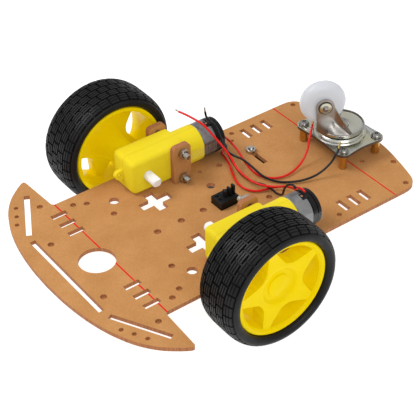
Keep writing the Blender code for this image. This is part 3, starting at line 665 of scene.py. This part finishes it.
def gear_case(word, side):
    """The gear case in two shells: rounded body, motor neck, locating lug, grooves and parting line."""
    mid = side * CASE_MID_X
    lo, hi = across(side, CASE_IN_X, CASE_OUT_X)
    z0, z1 = AXLE_Z - CASE_HALF_H, AXLE_Z + CASE_HALF_H
    inner, outer = (CASE_IN_X - 1, CASE_MID_X - 0.08), (CASE_MID_X + 0.08, CASE_OUT_X + 1)
    for half, (x0, x1) in (("inner", inner), ("outer", outer)):
        case = box(f"{word}_case_{half}_shell", (lo, CASE_Y0, z0), (hi, CASE_Y1, z1), 2.8, 6)
        neck = rod("neck", CASE_HALF_H, (mid, CASE_Y1 - 4, AXLE_Z), NECK_Y1 - CASE_Y1 + 4, "Y", 72)
        flats = box("flats", (lo, CASE_Y1 - 6, -5), (hi, NECK_Y1 + 1, 30))
        joined = [combine(neck, [flats], "INTERSECT")]
        if half == "outer":
            turns = [radians(a) for a in range(0, 181, 15)]
            tab = [(LUG_Y - LUG_R * sin(a), LUG_Z + LUG_R * cos(a)) for a in turns]
            tab = [(CASE_Y0 + 1, LUG_Z + LUG_R), *tab, (CASE_Y0 + 1, LUG_Z - LUG_R)]
            width = across(side, CASE_MID_X + 0.15, CASE_MID_X + 2.4)
            joined.append(outline("lug", [tab, circle(LUG_Y, LUG_Z, 1.25)], *width, "YZ"))
        case = combine(case, joined, "UNION")
        cuts = [
            box("cavity", (lo + 1.5, CASE_Y0 + 1.5, z0 + 1.5), (hi - 1.5, CASE_Y1 - 1.5, z1 - 1.5)),
            rod("neck_bore", 8.6, (mid, CASE_Y1 - 2.5, AXLE_Z), 20, "Y", 48),
            rod("shaft_bore", 2.75, (-60, 0, AXLE_Z), 120, "X", 32),
        ]
        for dz in (-BOLT_DZ, BOLT_DZ):
            cuts.append(rod("bolt_bore", BOLT_BORE, (-60, BOLT_Y, AXLE_Z + dz), 120, "X", 24))
        for y in (10.6, 11.6):
            for x in (lo, hi):
                cuts.append(box("groove", (x - 0.12, y - 0.12, z0 - 1), (x + 0.12, y + 0.12, z1 + 1)))
        case = combine(case, cuts)
        keep_lo, keep_hi = across(side, x0, x1)
        case = combine(case, [box("half", (keep_lo, -30, -10), (keep_hi, 60, 40))], "INTERSECT")
        piece(smooth(case, 25), YELLOW_CASE, nodes=f"{word}_gear_case_{half}")


def bracket(word, side, half, x0):
    """A T-shaped bracket, kraft on its faces and browned on its sides, with its foot through the plate."""
    top = [(y, z) for y, z in rounded((14.0, 0.3), (24.8, 22.0), 2.5) if z > 5]
    foot = [(14.0, -PLATE_T), (23.6, -PLATE_T), (23.6, 0.3), (24.8, 0.3)]
    holes = [circle(BOLT_Y, AXLE_Z + dz, BOLT_BORE) for dz in (-BOLT_DZ, BOLT_DZ)]
    width = across(side, x0, x0 + 3.0)
    sheet = outline(f"{word}_bracket_{half}_sheet", [top + foot, *holes], *width, "YZ")
    piece(smooth(sheet, 40), (KRAFT, EDGE), nodes=f"{word}_motor_bracket_{half}")
    paint_faces(sheet, lambda middle, normal: abs(normal.x) <= 0.9)


def threaded(radius, start, end, pitch=0.5, depth=0.16):
    """Profile points of a screw thread from start to end."""
    count = int(abs(end - start) / pitch)
    step = (end - start) / count
    points = []
    for i in range(count):
        points.append((radius - depth, start + i * step))
        points.append((radius, start + (i + 0.5) * step))
    return [*points, (radius - depth, end)]


def hex_nut(name, low, high, plane):
    """A hexagon nut with chamfered corners."""
    nut = outline(name, [circle(0, 0, 2.95, 6), circle(0, 0, BOLT_BORE)], low, high, plane)
    crown = [(0, low), (2.5, low), (3.1, low + 0.35), (3.1, high - 0.35), (2.5, high), (0, high)]
    crown = turned("crown", crown, "X" if plane == "YZ" else "Z")
    return smooth(combine(nut, [crown], "INTERSECT"), 20)


def cross_head(name, profile, axis, top, depth, sign=1):
    """A turned screw with a cross recess sunk from the top of its head."""
    screw = turned(name, profile, axis)
    lo, hi = sorted((top + sign, top - sign * depth))
    arms = []
    for a, b in ((1.35, 0.27), (0.27, 1.35)):
        corners = ((lo, -a, -b), (hi, a, b)) if axis == "X" else ((-a, -b, lo), (a, b, hi))
        arms.append(box("arm", *corners))
    return smooth(combine(screw, arms), 25)


def motor_fixings(word, side):
    """The two long bolts with their cross-recess heads outside and nuts inside."""
    head_x, end_x = 54.4, 21.0
    head = [(0, head_x), (1.9, head_x), (2.6, 53.9), (2.7, 53.2), (2.7, 52.4), (1.4, 52.4)]
    profile = [(r, side * x) for r, x in (*head, *threaded(1.4, 27.0, end_x), (0, end_x))]
    for level, dz in (("lower", -BOLT_DZ), ("upper", BOLT_DZ)):
        at = (0, BOLT_Y, AXLE_Z + dz)
        bolt = cross_head(f"{word}_bolt_{level}_threaded", profile, "X", side * head_x, 1.1, side)
        piece(bolt, STEEL, nodes=f"{word}_motor_bolt_{level}", at=at)
        nut = hex_nut(f"{word}_nut_{level}_hex", *across(side, 24.0, 26.4), "YZ")
        piece(nut, STEEL, nodes=f"{word}_motor_nut_{level}", at=at)


def flat_sided(obj):
    """Cuts the motor's two flats."""
    sides = ((-12, -CAN_FLAT), (CAN_FLAT, 12))
    return combine(obj, [box("flat", (lo, 20, -12), (hi, 60, 12)) for lo, hi in sides])


def motor(word, side):
    """Can with its rolled edge, end cap with its terminals, and the clear strap that holds them on."""
    at = (side * CASE_MID_X, 0, AXLE_Z)
    shell = [(7.4, CAN_Y1), (9.3, CAN_Y1), (CAN_R, CAN_Y1 - 0.3), (CAN_R, NECK_Y1 + 0.6)]
    shell += [(CAN_R - 0.3, NECK_Y1 + 0.3), (8.2, NECK_Y1 + 0.3), (8.2, 27.5), (1.6, 27.5), (1.6, 29.0)]
    can = turned(f"{word}_can_shell", [*shell, (7.4, 29.0)], "Y", 96)
    notches = []
    for s in (-1, 1):
        notches.append(box("notch", (-2.2, CAN_Y1 - 1.6, s * 9.6 - 0.7), (0.6, CAN_Y1 + 1, s * 9.6 + 0.7)))
        notches.append(box("dimple", (s * CAN_FLAT - 0.25, 38.6, -2.6), (s * CAN_FLAT + 0.25, 39.0, 2.6)))
    can = combine(flat_sided(can), notches)
    piece(smooth(eased(can, 0.12, 2, 40), 35), CAN, nodes=f"{word}_motor_can", at=at)
    # The cap's profile, measured from its outer face and then from the can's edge
    outer = [(0, 0), (2.3, 0), (2.3, -0.6), (3.2, -0.6), (3.2, 0), (8.6, 0), (9.3, -0.5), (9.3, -2.2)]
    outer = [(r, CAP_Y1 + y) for r, y in (*outer, (8.8, -2.35), (8.8, -2.75), (CAN_R, -2.9))]
    inner = [(r, CAN_Y1 + y) for r, y in ((CAN_R, 0.5), (9.4, 0.3), (0, 0.3))]
    cap = turned(f"{word}_end_cap_moulding", outer + inner, "Y", 96)
    slits = [box("slit", (-1.7, CAP_Y1 - 1.2, z - 0.6), (1.7, CAP_Y1 + 1, z + 0.6)) for z in (-6.4, 6.4)]
    cap = combine(flat_sided(cap), slits)
    piece(smooth(cap, 30), BLACK, nodes=f"{word}_motor_end_cap", at=at)
    block = box(f"{word}_terminal_block", (-0.6, CAN_Y1 - 2.4, 8.4), (3.6, CAN_Y1 + 0.8, 9.75), 0.2, 2)
    piece(smooth(block), BLACK, at=at)
    clip = box(f"{word}_terminal_clip", (0.9, CAN_Y1 - 2.1, 9.5), (2.1, CAN_Y1 - 1.2, 9.9), 0.1, 2)
    piece(smooth(clip), COPPER, at=at)
    for z, end in ((6.4, "upper"), (-6.4, "lower")):
        low, high = (-1.2, CAP_Y1 - 1.0, z - 0.2), (1.2, CAP_Y1 + 0.36, z + 0.2)
        tab = box(f"{word}_terminal_{end}", low, high, 0.08, 2)
        piece(tab, COPPER, at=at)
    back = CAP_Y1 + 0.4
    half = [(8.75, back), (9.4, back - 0.25), (9.75, back - 0.9), (9.75, 27)]
    half += [(10.25, 27), (10.25, back - 0.9), (10.0, back - 0.2), (9.55, back + 0.25), (8.85, back + 0.5)]
    band = [*half, *[(-x, y) for x, y in reversed(half)]]
    strap = outline(f"{word}_clear_strap", [band], -2.5, 2.5)
    piece(smooth(eased(strap, 0.12, 2, 50), 30), CLEAR, nodes=f"{word}_motor_strap", at=at)


# ---- wheels

WHEEL_X = 68.7
TYRE_R = 32.5
TYRE_HALF_W = 13.5
BLOCKS = 34
ROWS = 5
TREAD_HALF = 12.3
GROOVE = 1.15  # depth between blocks
SLIT = 0.45  # depth of the cuts in a block
ARMS = 5
# How far each wheel is turned: where its first arm points, from +Y towards +Z
ARM_ANGLE = {"right": radians(104), "left": radians(113)}


def crown_radius(x):
    """The tyre's outer radius at a place across it: nearly flat, falling away at the shoulders."""
    return TYRE_R - 0.2 * (abs(x) / 7.5) ** 4.6


def tread_columns():
    """Places round one block's length, and how far even and odd rows stand up there."""
    soft = 0.022
    gap = 0.066
    places = {0.0}
    for centre in (0.0, 0.5):
        for way in (1, -1):
            places |= {(centre + gap * way) % 1, (centre + gap * way + soft * way) % 1}
    columns = []
    for u in sorted(places):
        levels = []
        for parity in (0, 1):
            away = abs((u - 0.5 * parity + 0.5) % 1 - 0.5)
            levels.append(min(1.0, max(0.0, (away - gap + 1e-6) / soft)))
        columns.append((u, levels))
    return columns


def tread_profile():
    """Points across the tread: (place, row or None for a groove, share of the slit's depth)."""
    pitch = 2 * TREAD_HALF / ROWS
    gap, slit, soft = 0.78, 0.36, 0.14
    points = []
    for row in range(ROWS):
        low = -TREAD_HALF + row * pitch + gap / 2
        rib = (pitch - gap - 2 * slit) / 3
        for k in range(3):
            a = low + k * (rib + slit)
            points += [(a, row if k else None, 1.0), (a + soft, row, 0.0), (a + rib - soft, row, 0.0)]
            points.append((a + rib, row if k < 2 else None, 1.0))
    return points


def tyre(word, side):
    """One closed mesh: staggered rows of ribbed blocks over a crowned tread, and smooth sidewalls."""
    wall = [
        (12.55, 30.15), (13.0, 29.75), (13.3, 29.0), (TYRE_HALF_W, 28.0), (13.3, 27.2), (12.7, 26.4),
        (11.6, 25.85),
    ]
    inside = [(8.7, 25.82), (8.7, 24.8), (-10.1, 24.8), (-10.1, 25.82)]
    # Each point is (place across, radius, row, share); the tread's radius depends on the block
    ring = [(-x, r, None, 0) for x, r in reversed(wall)]
    ring += [(x, None, row, share) for x, row, share in tread_profile()]
    ring += [(x, r, None, 0) for x, r in (*wall, *inside)]
    bm = bmesh.new()
    loops = []
    for block in range(BLOCKS):
        for u, levels in tread_columns():
            angle = 360 * (block + u) / BLOCKS
            loop = []
            for x, r, row, share in ring:
                if r is None:
                    up = 0.0 if row is None else levels[row % 2]
                    r = crown_radius(x) - GROOVE * (1 - up) - SLIT * share * up
                loop.append(bm.verts.new((x * side * MM, *polar(r * MM, angle))))
            loops.append(loop)
    for a, b in zip(loops, [*loops[1:], loops[0]]):
        for i in range(len(a)):
            j = (i + 1) % len(a)
            bm.faces.new((a[i], a[j], b[j], b[i]))
    made = smooth(from_bmesh(f"{word}_tyre_treaded", bm), 28)
    piece(made, RUBBER, f"{word}_wheel", f"{word}_tyre", (side * WHEEL_X, 0, AXLE_Z))


def pocket_loop():
    """One opening between two arms: narrow and round towards the hub, wide and square at the rim."""
    edge_r = 22.65
    keys = ((13.3, -8), (13.0, 0), (13.3, 8), (14.4, 15), (17.2, 22.5), (20.0, 27.5), (edge_r, 30.5))
    curve = [p for p in spline_points([polar(*key) for key in keys], 0.9)[1:] if p.y >= 0]
    upper = curve + [polar(edge_r, a) for a in range(25, 0, -5)]
    return upper + [(edge_r, 0)] + [(x, -y) for x, y in reversed(upper) if y > 0.01]


def rim(word, side):
    """A five-arm wheel: dished hub with its boss, openings between the arms, barrel, lips and hub tube."""
    star = turned(
        f"{word}_rim_moulding",
        [
            (0, 8.0), (5.5, 8.0), (5.9, 7.8), (6.05, 7.2), (6.3, 7.0), (8.0, 6.9), (8.8, 7.3), (9.5, 8.4),
            (10.2, 8.9), (11.5, 9.1), (16.0, 9.3), (22.0, 9.5), (22.8, 9.8), (23.2, 10.5), (23.8, 10.95),
            (25.1, 11.0), (25.5, 10.6), (25.5, 9.0), (24.5, 8.8), (24.5, -10.2), (25.5, -10.4), (25.5, -12.2),
            (25.2, -12.4), (24.0, -12.4), (23.2, -11.6), (22.7, -9.0), (22.7, 2.4), (20.5, 1.2), (12.0, 1.0),
            (10.6, 0.2), (9.2, -1.6), (8.0, -4.4), (7.2, -7.6), (7.0, -18.0), (6.6, -18.4), (3.0, -18.4),
            (3.0, -10.4), (0, -10.4),
        ],
        "X", 120,
    )
    openings = []
    for i in range(ARMS):
        turn = ARM_ANGLE[word] + 2 * pi * (i + 0.5) / ARMS
        hole = outline("opening", [pocket_loop()], -6, 14, "YZ")
        hole.data.transform(Matrix.Rotation(turn, 4, "X"))
        openings.append(hole)
    if side < 0:
        for part in (star, *openings):
            part.data.transform(MIRROR_X)
            part.data.flip_normals()
    star = smooth(meshed(eased(combine(star, openings), 0.42, 3, 40)), 32)
    piece(star, YELLOW_RIM, f"{word}_wheel", f"{word}_wheel_rim", (side * WHEEL_X, 0, AXLE_Z))


def output_shaft(word, side):
    """White shaft with two flats and a chamfered end where it comes out of the inner face."""
    bar = [(0, 21.2), (2.1, 21.2), (2.65, 21.75), (2.65, 57.9), (0, 57.9)]
    shaft = turned(f"{word}_shaft_bar", [(r, side * x) for r, x in bar], "X", 48)
    lo, hi = across(side, 20.0, CASE_IN_X - 0.5)
    shaft = combine(shaft, [box("flat", (lo, -4, z - 1.15), (hi, 4, z + 1.15)) for z in (-3.0, 3.0)])
    width = across(side, CASE_MID_X + 2.5, CASE_MID_X + 6.3)
    shaft = combine(shaft, [outline("teeth", [gear_loop(20, 7.5, 6.7)], *width, "YZ")], "UNION")
    piece(smooth(shaft, 30), NYLON, f"{word}_wheel", f"{word}_output_shaft", (0, 0, AXLE_Z))


def gear_loop(teeth, tip, root):
    """A toothed wheel's edge, four points a tooth."""
    tooth = ((-0.28, root), (-0.14, tip), (0.14, tip), (0.28, root))
    return [polar(r, 360 * (i + share) / teeth) for i in range(teeth) for share, r in tooth]


# ---- caster

CASTER_WHEEL_Z = 30.0
TRAIL = 10.3
TRAIL_ANGLE = -asin(0.46)
STAND_H = 8.5


def caster_mount():
    """Brass standoffs, their screws, the pressed top plate with its raised ball race, and the kingpin."""
    wall = [(1.9, STAND_H), (2.15, STAND_H - 0.25), (2.15, 0.55), (1.9, 0.3), (1.25, 0.3), (1.25, STAND_H)]
    head_top = 12.4
    head = [(0, head_top), (1.3, 12.35), (2.1, 12.0), (2.55, 11.4), (2.6, 10.9), (2.9, 10.85), (2.9, 10.5)]
    profile = [*head, (0.95, 10.5), *threaded(0.95, 9.0, 3.0), (0, 3.0)]
    for word, x in (("right", STAND_X), ("left", -STAND_X)):
        for end, y in zip(("front", "rear"), STAND_Y):
            post = smooth(turned(f"standoff_{end}_{word}_turned", wall))
            piece(post, BRASS, nodes=f"caster_standoff_{end}_{word}", at=(x, y, 0))
            screw = cross_head(f"screw_{end}_{word}_pan_head", profile, "Z", head_top, 1.0)
            piece(screw, (SCREW, RECESS_AND_RING_SHADE), nodes=f"caster_screw_{end}_{word}", at=(x, y, 0))
            # The cross recess is painted near-black: painted shade.
            paint_faces(screw, lambda p, _: 0.15 < head_top - p.z < 1.05 and p.xy.length < 1.45)
    base, top = STAND_H + 0.3, STAND_H + 1.8
    half_x, half_y, waist = 19.8, 15.5, 1.1
    corners = rounded((-half_x, -half_y), (half_x, half_y), 4.4)
    per = len(corners) // 4
    loop = []
    for k in range(4):  # each round corner, and after it a side that is drawn in
        loop += corners[k * per:(k + 1) * per]
        (x0, y0), (x1, y1) = loop[-1], corners[(k + 1) * per % len(corners)]
        for i in range(1, 10):
            t = i / 10
            x, y, dip = x0 + (x1 - x0) * t, y0 + (y1 - y0) * t, waist * sin(pi * t)
            loop.append((x - copysign(dip, x), y) if k % 2 else (x, y - copysign(dip, y)))
    holes = [circle(x, y - PIVOT_Y, 1.2, 20) for x in (-STAND_X, STAND_X) for y in STAND_Y]
    plate = outline("caster_plate_pressing", [loop, *holes], base, top)
    dome = turned(
        "dome",
        [
            (0, 11.9), (9.6, 11.9), (10.2, 12.25), (12.1, 12.25), (12.6, 11.8), (13.0, 11.1), (13.9, 10.8),
            (14.3, 10.3), (14.4, 9.6), (0, 9.6),
        ],
        "Z", 96,
    )
    plate = combine(plate, [dome], "UNION")
    plate = combine(plate, [rod("bore", 2.3, (0, 0, 5), 12, "Z", 32)])
    plate = smooth(eased(plate, 0.22, 2, 50), 30)
    piece(plate, (ZINC, PLATE_SIDE_SHADE), nodes="caster_top_plate", at=(0, PIVOT_Y, 0))
    dome_r = 14.45
    # The plate's sides out past the dome are painted dark: painted shade.
    paint_faces(plate, lambda p, normal: abs(normal.z) < 0.3 and p.xy.length > dome_r)
    pin = turned(
        "kingpin_rivet",
        [
            (0, 15.2), (2.2, 15.3), (3.2, 15.0), (4.1, 14.6), (4.2, 14.3), (2.0, 14.3), (2.0, 8.5),
            (3.6, 8.5), (3.5, 7.6), (3.2, 7.4), (0, 7.4),
        ],
    )
    piece(smooth(pin), STEEL, nodes="caster_kingpin", at=(0, PIVOT_Y, 0))


def fork_leg(sign):
    """One pressed side of the fork: it rises off the cup's round wall, flattens, and ends round the axle."""
    up_count = 14
    ring_r, flat_x, tip_r = 12.5, 5.9, 5.0
    foot = [(6.0, -14.0, 15.6), (7.5, -11.4, 14.4)]
    foot += [(*polar(ring_r, a), 13.6) for a in (-42, -28, -12, 4, 17)]
    foot = spline_points(foot, 0.8)
    across_count = len(foot) - 1
    bm = bmesh.new()
    rows = []
    for i, low in enumerate(foot):
        u = i / across_count
        if u <= 0.5:
            y, z = polar(tip_r, 180 * (1 - 2 * u))
            high = Vector((flat_x, y - TRAIL, z + CASTER_WHEEL_Z))
        else:
            t = (u - 0.5) * 2
            start = Vector((flat_x, tip_r - TRAIL, CASTER_WHEEL_Z))
            way = Vector((*polar(ring_r, 17), 15.6)) - start
            high = start + Vector((way.x * t * t * (3 - 2 * t), way.y * t, way.z * t**0.9))
        row = []
        for k in range(up_count + 1):
            v = k / up_count
            p = low.lerp(high, v)
            settle = min(1.0, v * 1.9)
            settle = settle * settle * (3 - 2 * settle)
            p.x = low.x + (high.x - low.x) * settle
            row.append(bm.verts.new((p.x * sign * MM, p.y * MM, p.z * MM)))
        rows.append(row)
    for a, b in zip(rows, rows[1:]):
        for i in range(up_count):
            bm.faces.new((a[i], a[i + 1], b[i + 1], b[i]))
    leg = from_bmesh("leg", bm)
    shell = leg.modifiers.new("Solidify", "SOLIDIFY")
    shell.thickness = 0.9 * MM
    shell.offset = 0
    return meshed(leg)


def caster_fork():
    """The swivelling fork, a pressed cup with two legs, then the riveted axle and the wheel."""
    pivot = (0, PIVOT_Y, 0)
    to_axle = Matrix.Translation((0, -TRAIL * MM, CASTER_WHEEL_Z * MM))
    cup = turned(
        "fork_pressing",
        [
            (2.3, 12.7), (9.2, 12.7), (11.0, 12.9), (12.4, 13.3), (13.0, 13.9), (13.05, 15.2), (12.7, 15.6),
            (12.2, 15.5), (12.0, 14.6), (10.8, 14.0), (5.4, 13.9), (5.0, 14.15), (4.6, 14.15), (4.3, 13.9),
            (2.3, 13.9),
        ],
        "Z", 96,
    )
    fork = combine(cup, [fork_leg(1), fork_leg(-1)], "UNION")
    fork = combine(fork, [rod("axle_bore", 1.6, (-12, -TRAIL, CASTER_WHEEL_Z), 24, "X", 24)])
    piece(smooth(fork, 40), (FORK, ZINC), "caster_swivel", "caster_fork", pivot, TRAIL_ANGLE)
    cup_rim_z = 14.7
    # The legs get the steel with the painted reflection; the cup below the rim line gets zinc.
    paint_faces(fork, lambda p, _: p.z < cup_rim_z)
    half = [(0, 8.1), (0.9, 8.05), (1.5, 7.75), (1.6, 7.1), (3.3, 7.0), (3.7, 6.8), (3.8, 6.5), (1.4, 6.5)]
    axle = turned("caster_axle_rivet", mirrored(half), "X")
    axle.data.transform(to_axle)
    # Out from 3.4 the washer's rim is painted near-black: painted shade.
    metals = (SCREW, ZINC, RECESS_AND_RING_SHADE)  # the rivet, its washer out from 1.6, and the shadow gap out from 3.4
    piece(smooth(axle), metals, "caster_swivel", "caster_axle", pivot, TRAIL_ANGLE)
    paint_faces(axle, lambda p, _: sum(hypot(p.y + TRAIL, p.z - CASTER_WHEEL_Z) > r for r in (1.6, 3.4)))
    half = [(1.75, 4.6), (3.2, 4.6), (3.5, 4.5), (3.8, 4.2), (8.6, 4.2), (9.6, 4.0), (10.5, 3.6)]
    half += [(11.3, 2.9), (11.9, 2.0), (12.25, 1.0), (12.35, 0.0)]
    wheel = smooth(turned("caster_wheel_moulding", mirrored(half), "X", 96), 40)
    wheel.data.transform(to_axle)
    piece(wheel, WHEEL_NYLON, "caster_roller", "caster_wheel", pivot, TRAIL_ANGLE)


# ---- switch and battery holder


def switch():
    """The back of the rocker switch, with its moulded steps and three terminals, and the rocker below."""
    body = box("switch_housing", (-2.8, 20.0, -3.9), (6.0, 31.5, 4.0))
    upper = box("upper", (-2.4, 24.0, 2.0), (5.7, 31.2, 4.5))
    flange = box("flange", (-4.3, 19.6, -4.1), (7.5, 31.7, -PLATE_T - GAP))
    body = combine(body, [upper, flange], "UNION")
    cuts = [box("well", (-1.9, 21.0, -5), (5.1, 30.5, -0.9))]
    for y in (21.0, 22.3):
        cuts.append(box("step", (-1.6, y, 3.5), (4.8, y + 0.6, 5)))
    for y in (24.5, 27.1, 29.7):
        cuts.append(box("socket", (0.6, y, 3.9), (3.6, y + 1.2, 6)))
    body = combine(body, cuts)
    piece(smooth(eased(body, 0.3, 2, 40), 30), BLACK, nodes="switch_body")
    for i, (y, top) in enumerate(((25.1, 8.4), (27.7, 9.0), (30.3, 9.6))):
        blade = box(f"switch_terminal_{i + 1}", (0.7, y - 0.75, 3.0), (3.4, y + 0.75, top), 0.6, 4)
        piece(smooth(blade), BLACK)
    for i, x in enumerate((-1.2, 1.6)):
        bump = rod(f"switch_rivet_{i + 1}", 0.75, (x, 22.2, 3.4), 1.3, "Z", 24)
        piece(smooth(eased(bump, 0.25, 3, 40)), BLACK)
    loop = [(-4.1, 0.6), (-4.1, -2.2), (-3.4, -2.4), (0, -1.5), (3.4, -2.4), (4.1, -2.2), (4.1, 0.6)]
    rocker = smooth(eased(outline("rocker_button", [loop], -3.1, 3.1, "YZ"), 0.25, 3, 40), 30)
    piece(rocker, BLACK, "rocker", "switch_rocker", (1.6, 25.75, -3.2))


def coil(name, pitch, at):
    """A cell's tapered contact spring, which stands along Y."""
    turns, steps, radius, taper, wire_r = 4, 20, 3.6, 0.45, 0.28
    count = turns * steps
    points = []
    for i in range(count + 1):
        x, z = polar(radius * (1 - taper * i / count), 360 * i / steps)
        points.append((x, pitch * i / steps, z))
    piece(poly_curve(name, points, wire_r, 3), STEEL, at=at)


def battery_holder():
    """Open tray for four cells, with end ribs, springs, contact plates, its two screws and nuts."""
    half_x, y0, y1, wall, cells = 30.45, 32.0, 88.4, 0.5, 4
    top = -PLATE_T - GAP
    bottom = top - 14.5
    left, right = HOLDER_MID - half_x, HOLDER_MID + half_x
    tray = box("holder_tray", (left, y0, bottom), (right, y1, top))
    bay_w = (2 * half_x - (cells + 1) * wall) / cells
    middles = [left + wall + i * (bay_w + wall) + bay_w / 2 for i in range(cells)]
    cuts = []
    for x in middles:
        cuts.append(box("bay", (x - bay_w / 2, y0 + 1.0, bottom - 1), (x + bay_w / 2, y1 - 1.0, top - 1.7)))
        cuts.append(box("finger", (x - 3.2, y0 - 1, bottom - 1), (x + 3.2, y1 + 1, bottom + 4.5)))
    for x, y in HOLDER_SCREWS:
        cuts.append(rod("hole", BOLT_BORE, (x, y, -10), 12, "Z", 20))
        cuts.append(rod("head_room", 2.8, (x, y, top - 4.0), 2.6, "Z", 32))
    tray = combine(tray, cuts)
    piece(smooth(eased(tray, 0.2, 2, 50), 30), BLACK, nodes="battery_holder")
    for i, middle in enumerate(middles):
        way, spring_y, plate_y = (1, y0 + 1.1, y1 - 1.35) if i % 2 else (-1, y1 - 1.1, y0 + 1.05)
        coil(f"cell_spring_{i + 1}", 0.9 * way, (middle, spring_y, top - 8.6))
        contact = box(f"cell_contact_{i + 1}", (-4.2, 0, -4.2), (4.2, 0.3, 4.2), 0.12, 2)
        piece(contact, STEEL, at=(middle, plate_y, top - 8.0))
    for word, (x, y) in zip(("left", "right"), HOLDER_SCREWS):
        screw = cross_head(
            f"holder_screw_{word}_pan_head",
            [(0, 2.9), *threaded(1.4, 2.9, -4.6), (2.3, -4.6), (2.3, -5.3), (1.7, -5.9), (0, -6.0)],
            "Z", -6.0, 0.8, -1,
        )
        piece(screw, STEEL, nodes=f"holder_screw_{word}", at=(x, y, 0))
        nut = hex_nut(f"holder_nut_{word}_hex", GAP, 2.1, "XY")
        piece(nut, STEEL, nodes=f"holder_nut_{word}", at=(x, y, 0))


# ---- leads

WIRE_R = 0.6
# For each lead its look, its bare end and its route. A bare end is how far and which way the twisted
# strands stand out, and their look. The link lead has none, because both its ends are at a motor.
LEADS = {
    "left_motor_lead_red": (RED_WIRE, "red_wire", ((-1.0, 1.3, 1.2), COPPER, "brass"), [
        (-38.0, 52.4, 9.0), (-34.5, 52.6, 9.0), (-30.5, 53.2, 8.0), (-22.9, 53.0, 6.0), (-14.0, 51.2, 4.0),
        (-6.0, 52.1, 1.3), (1.5, 56.3, 1.2), (4.4, 64.3, 1.2), (2.6, 74.2, 2.2), (0.5, 80.9, 7.0),
        (-2.6, 85.1, 12.0), (-6.6, 90.3, 16.3),
    ]),
    "left_motor_lead_black": (BLACK_WIRE, "black_wire", ((-2.6, 3.3, 2.4), GILT, "brass"), [
        (-37.0, 52.4, 4.6), (-33.0, 52.4, 4.6), (-28.4, 49.6, 5.2), (-21.4, 47.6, 7.0), (-14.8, 49.6, 6.8),
        (-8.4, 50.9, 5.2), (-1.1, 52.3, 2.9), (4.6, 55.9, 1.3), (9.1, 60.4, 1.2), (13.1, 67.5, 1.5),
        (15.4, 75.9, 3.0), (16.8, 82.9, 7.5), (16.8, 87.2, 12.4), (15.9, 89.2, 13.6),
    ]),
    "right_motor_lead_red": (RED_WIRE, "red_wire", ((-2.3, -0.9, 0.9), TINNED, "steel"), [
        (40.2, 45.7, 20.9), (36.8, 45.9, 20.7), (32.4, 46.8, 18.4), (27.0, 49.4, 13.6), (21.6, 51.6, 9.8),
        (16.6, 51.8, 7.0), (11.4, 48.4, 5.3), (6.3, 44.9, 5.1), (-0.1, 43.4, 4.7), (-7.8, 43.2, 5.2),
        (-13.1, 43.4, 6.6), (-17.7, 43.9, 9.2), (-22.4, 43.4, 12.2), (-28.4, 41.2, 17.6), (-35.6, 39.6, 21.6),
        (-43.0, 37.2, 23.4), (-48.6, 35.8, 23.6), (-51.2, 35.0, 23.6),
    ]),
    "right_motor_lead_black": (BLACK_WIRE, "black_wire", ((-0.6, 0.2, 2.6), TINNED, "steel"), [
        (35.6, 43.6, 21.0), (33.4, 43.6, 21.9), (29.4, 43.9, 19.4), (25.6, 44.8, 14.4), (22.6, 45.9, 8.2),
        (17.0, 47.2, 4.8), (12.4, 48.3, 3.6), (8.4, 48.5, 3.2), (4.0, 48.2, 2.4), (0.0, 47.2, 1.4),
        (-6.6, 45.8, 1.2), (-12.4, 45.6, 1.8), (-17.2, 45.7, 4.0), (-21.0, 45.6, 7.0), (-24.6, 45.6, 10.4),
        (-27.4, 45.6, 13.8), (-30.6, 45.7, 17.9), (-34.2, 45.6, 20.6), (-37.4, 45.0, 21.4),
        (-39.3, 44.3, 23.0), (-39.8, 43.9, 26.4),
    ]),
    "motor_link_lead_red": (RED_WIRE, "red_wire", None, [
        (-34.5, 53.6, 1.2), (-33.8, 50.8, 1.2), (-31.6, 48.8, 1.2), (-27.6, 47.9, 1.3), (-21.7, 46.0, 1.3),
        (-15.2, 42.9, 1.3), (-8.9, 40.3, 1.2), (-3.4, 39.3, 1.2), (1.0, 40.0, 1.2), (4.8, 42.4, 1.2),
        (6.9, 46.6, 1.2), (8.4, 51.0, 1.5), (12.4, 55.2, 2.8), (17.2, 56.8, 4.0), (24.0, 56.2, 6.0),
        (30.4, 54.2, 7.2), (35.0, 52.4, 7.6),
    ]),
}


def strands(name, end, way, mat, slot):
    """Four wires twisted together at a stripped end, from just inside the insulation."""
    way = Vector(way)
    start = end - way * 0.15
    side = way.cross(Vector((0.3, 1, 0.2))).normalized()
    other = way.cross(side).normalized()
    tips = []
    for k in range(4):
        points = []
        for i in range(13):
            t = i / 12
            angle = 2 * pi * (k / 4 + 0.9 * t)
            spread = 0.30 + 0.08 * t
            points.append(start + way * t + side * cos(angle) * spread + other * sin(angle) * spread)
        tips.append(piece(poly_curve(f"{name}_strand_{k + 1}", points, 0.19, 2), mat))
    return tips


def leads():
    """The five leads as cords of their real length, with their stripped ends."""
    for name, (mat, slot, bare_end, keys) in LEADS.items():
        points = spline_points(keys, 1.2)
        lead = poly_curve(f"{name}_skin", points, WIRE_R, 4)
        piece(lead, mat, nodes=name)
        tips = strands(name, points[-1], *bare_end) if bare_end else []


# ---- build

leads()
chassis_plate()
for word, side in (("right", 1), ("left", -1)):
    gear_case(word, side)
    bracket(word, side, "inner", CASE_IN_X - 3.3)
    bracket(word, side, "outer", CASE_OUT_X + 0.3)
    motor_fixings(word, side)
    motor(word, side)
    output_shaft(word, side)
    rim(word, side)
    tyre(word, side)
    for node, paint in (("reduction_gear", NYLON), ("crown_gear", NYLON), ("motor_rotor", STEEL)):
        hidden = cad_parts[f"{word}_{node}"]
        hidden.data.materials.clear()
        hidden.data.materials.append(paint)
caster_mount()
caster_fork()
switch()
battery_holder()
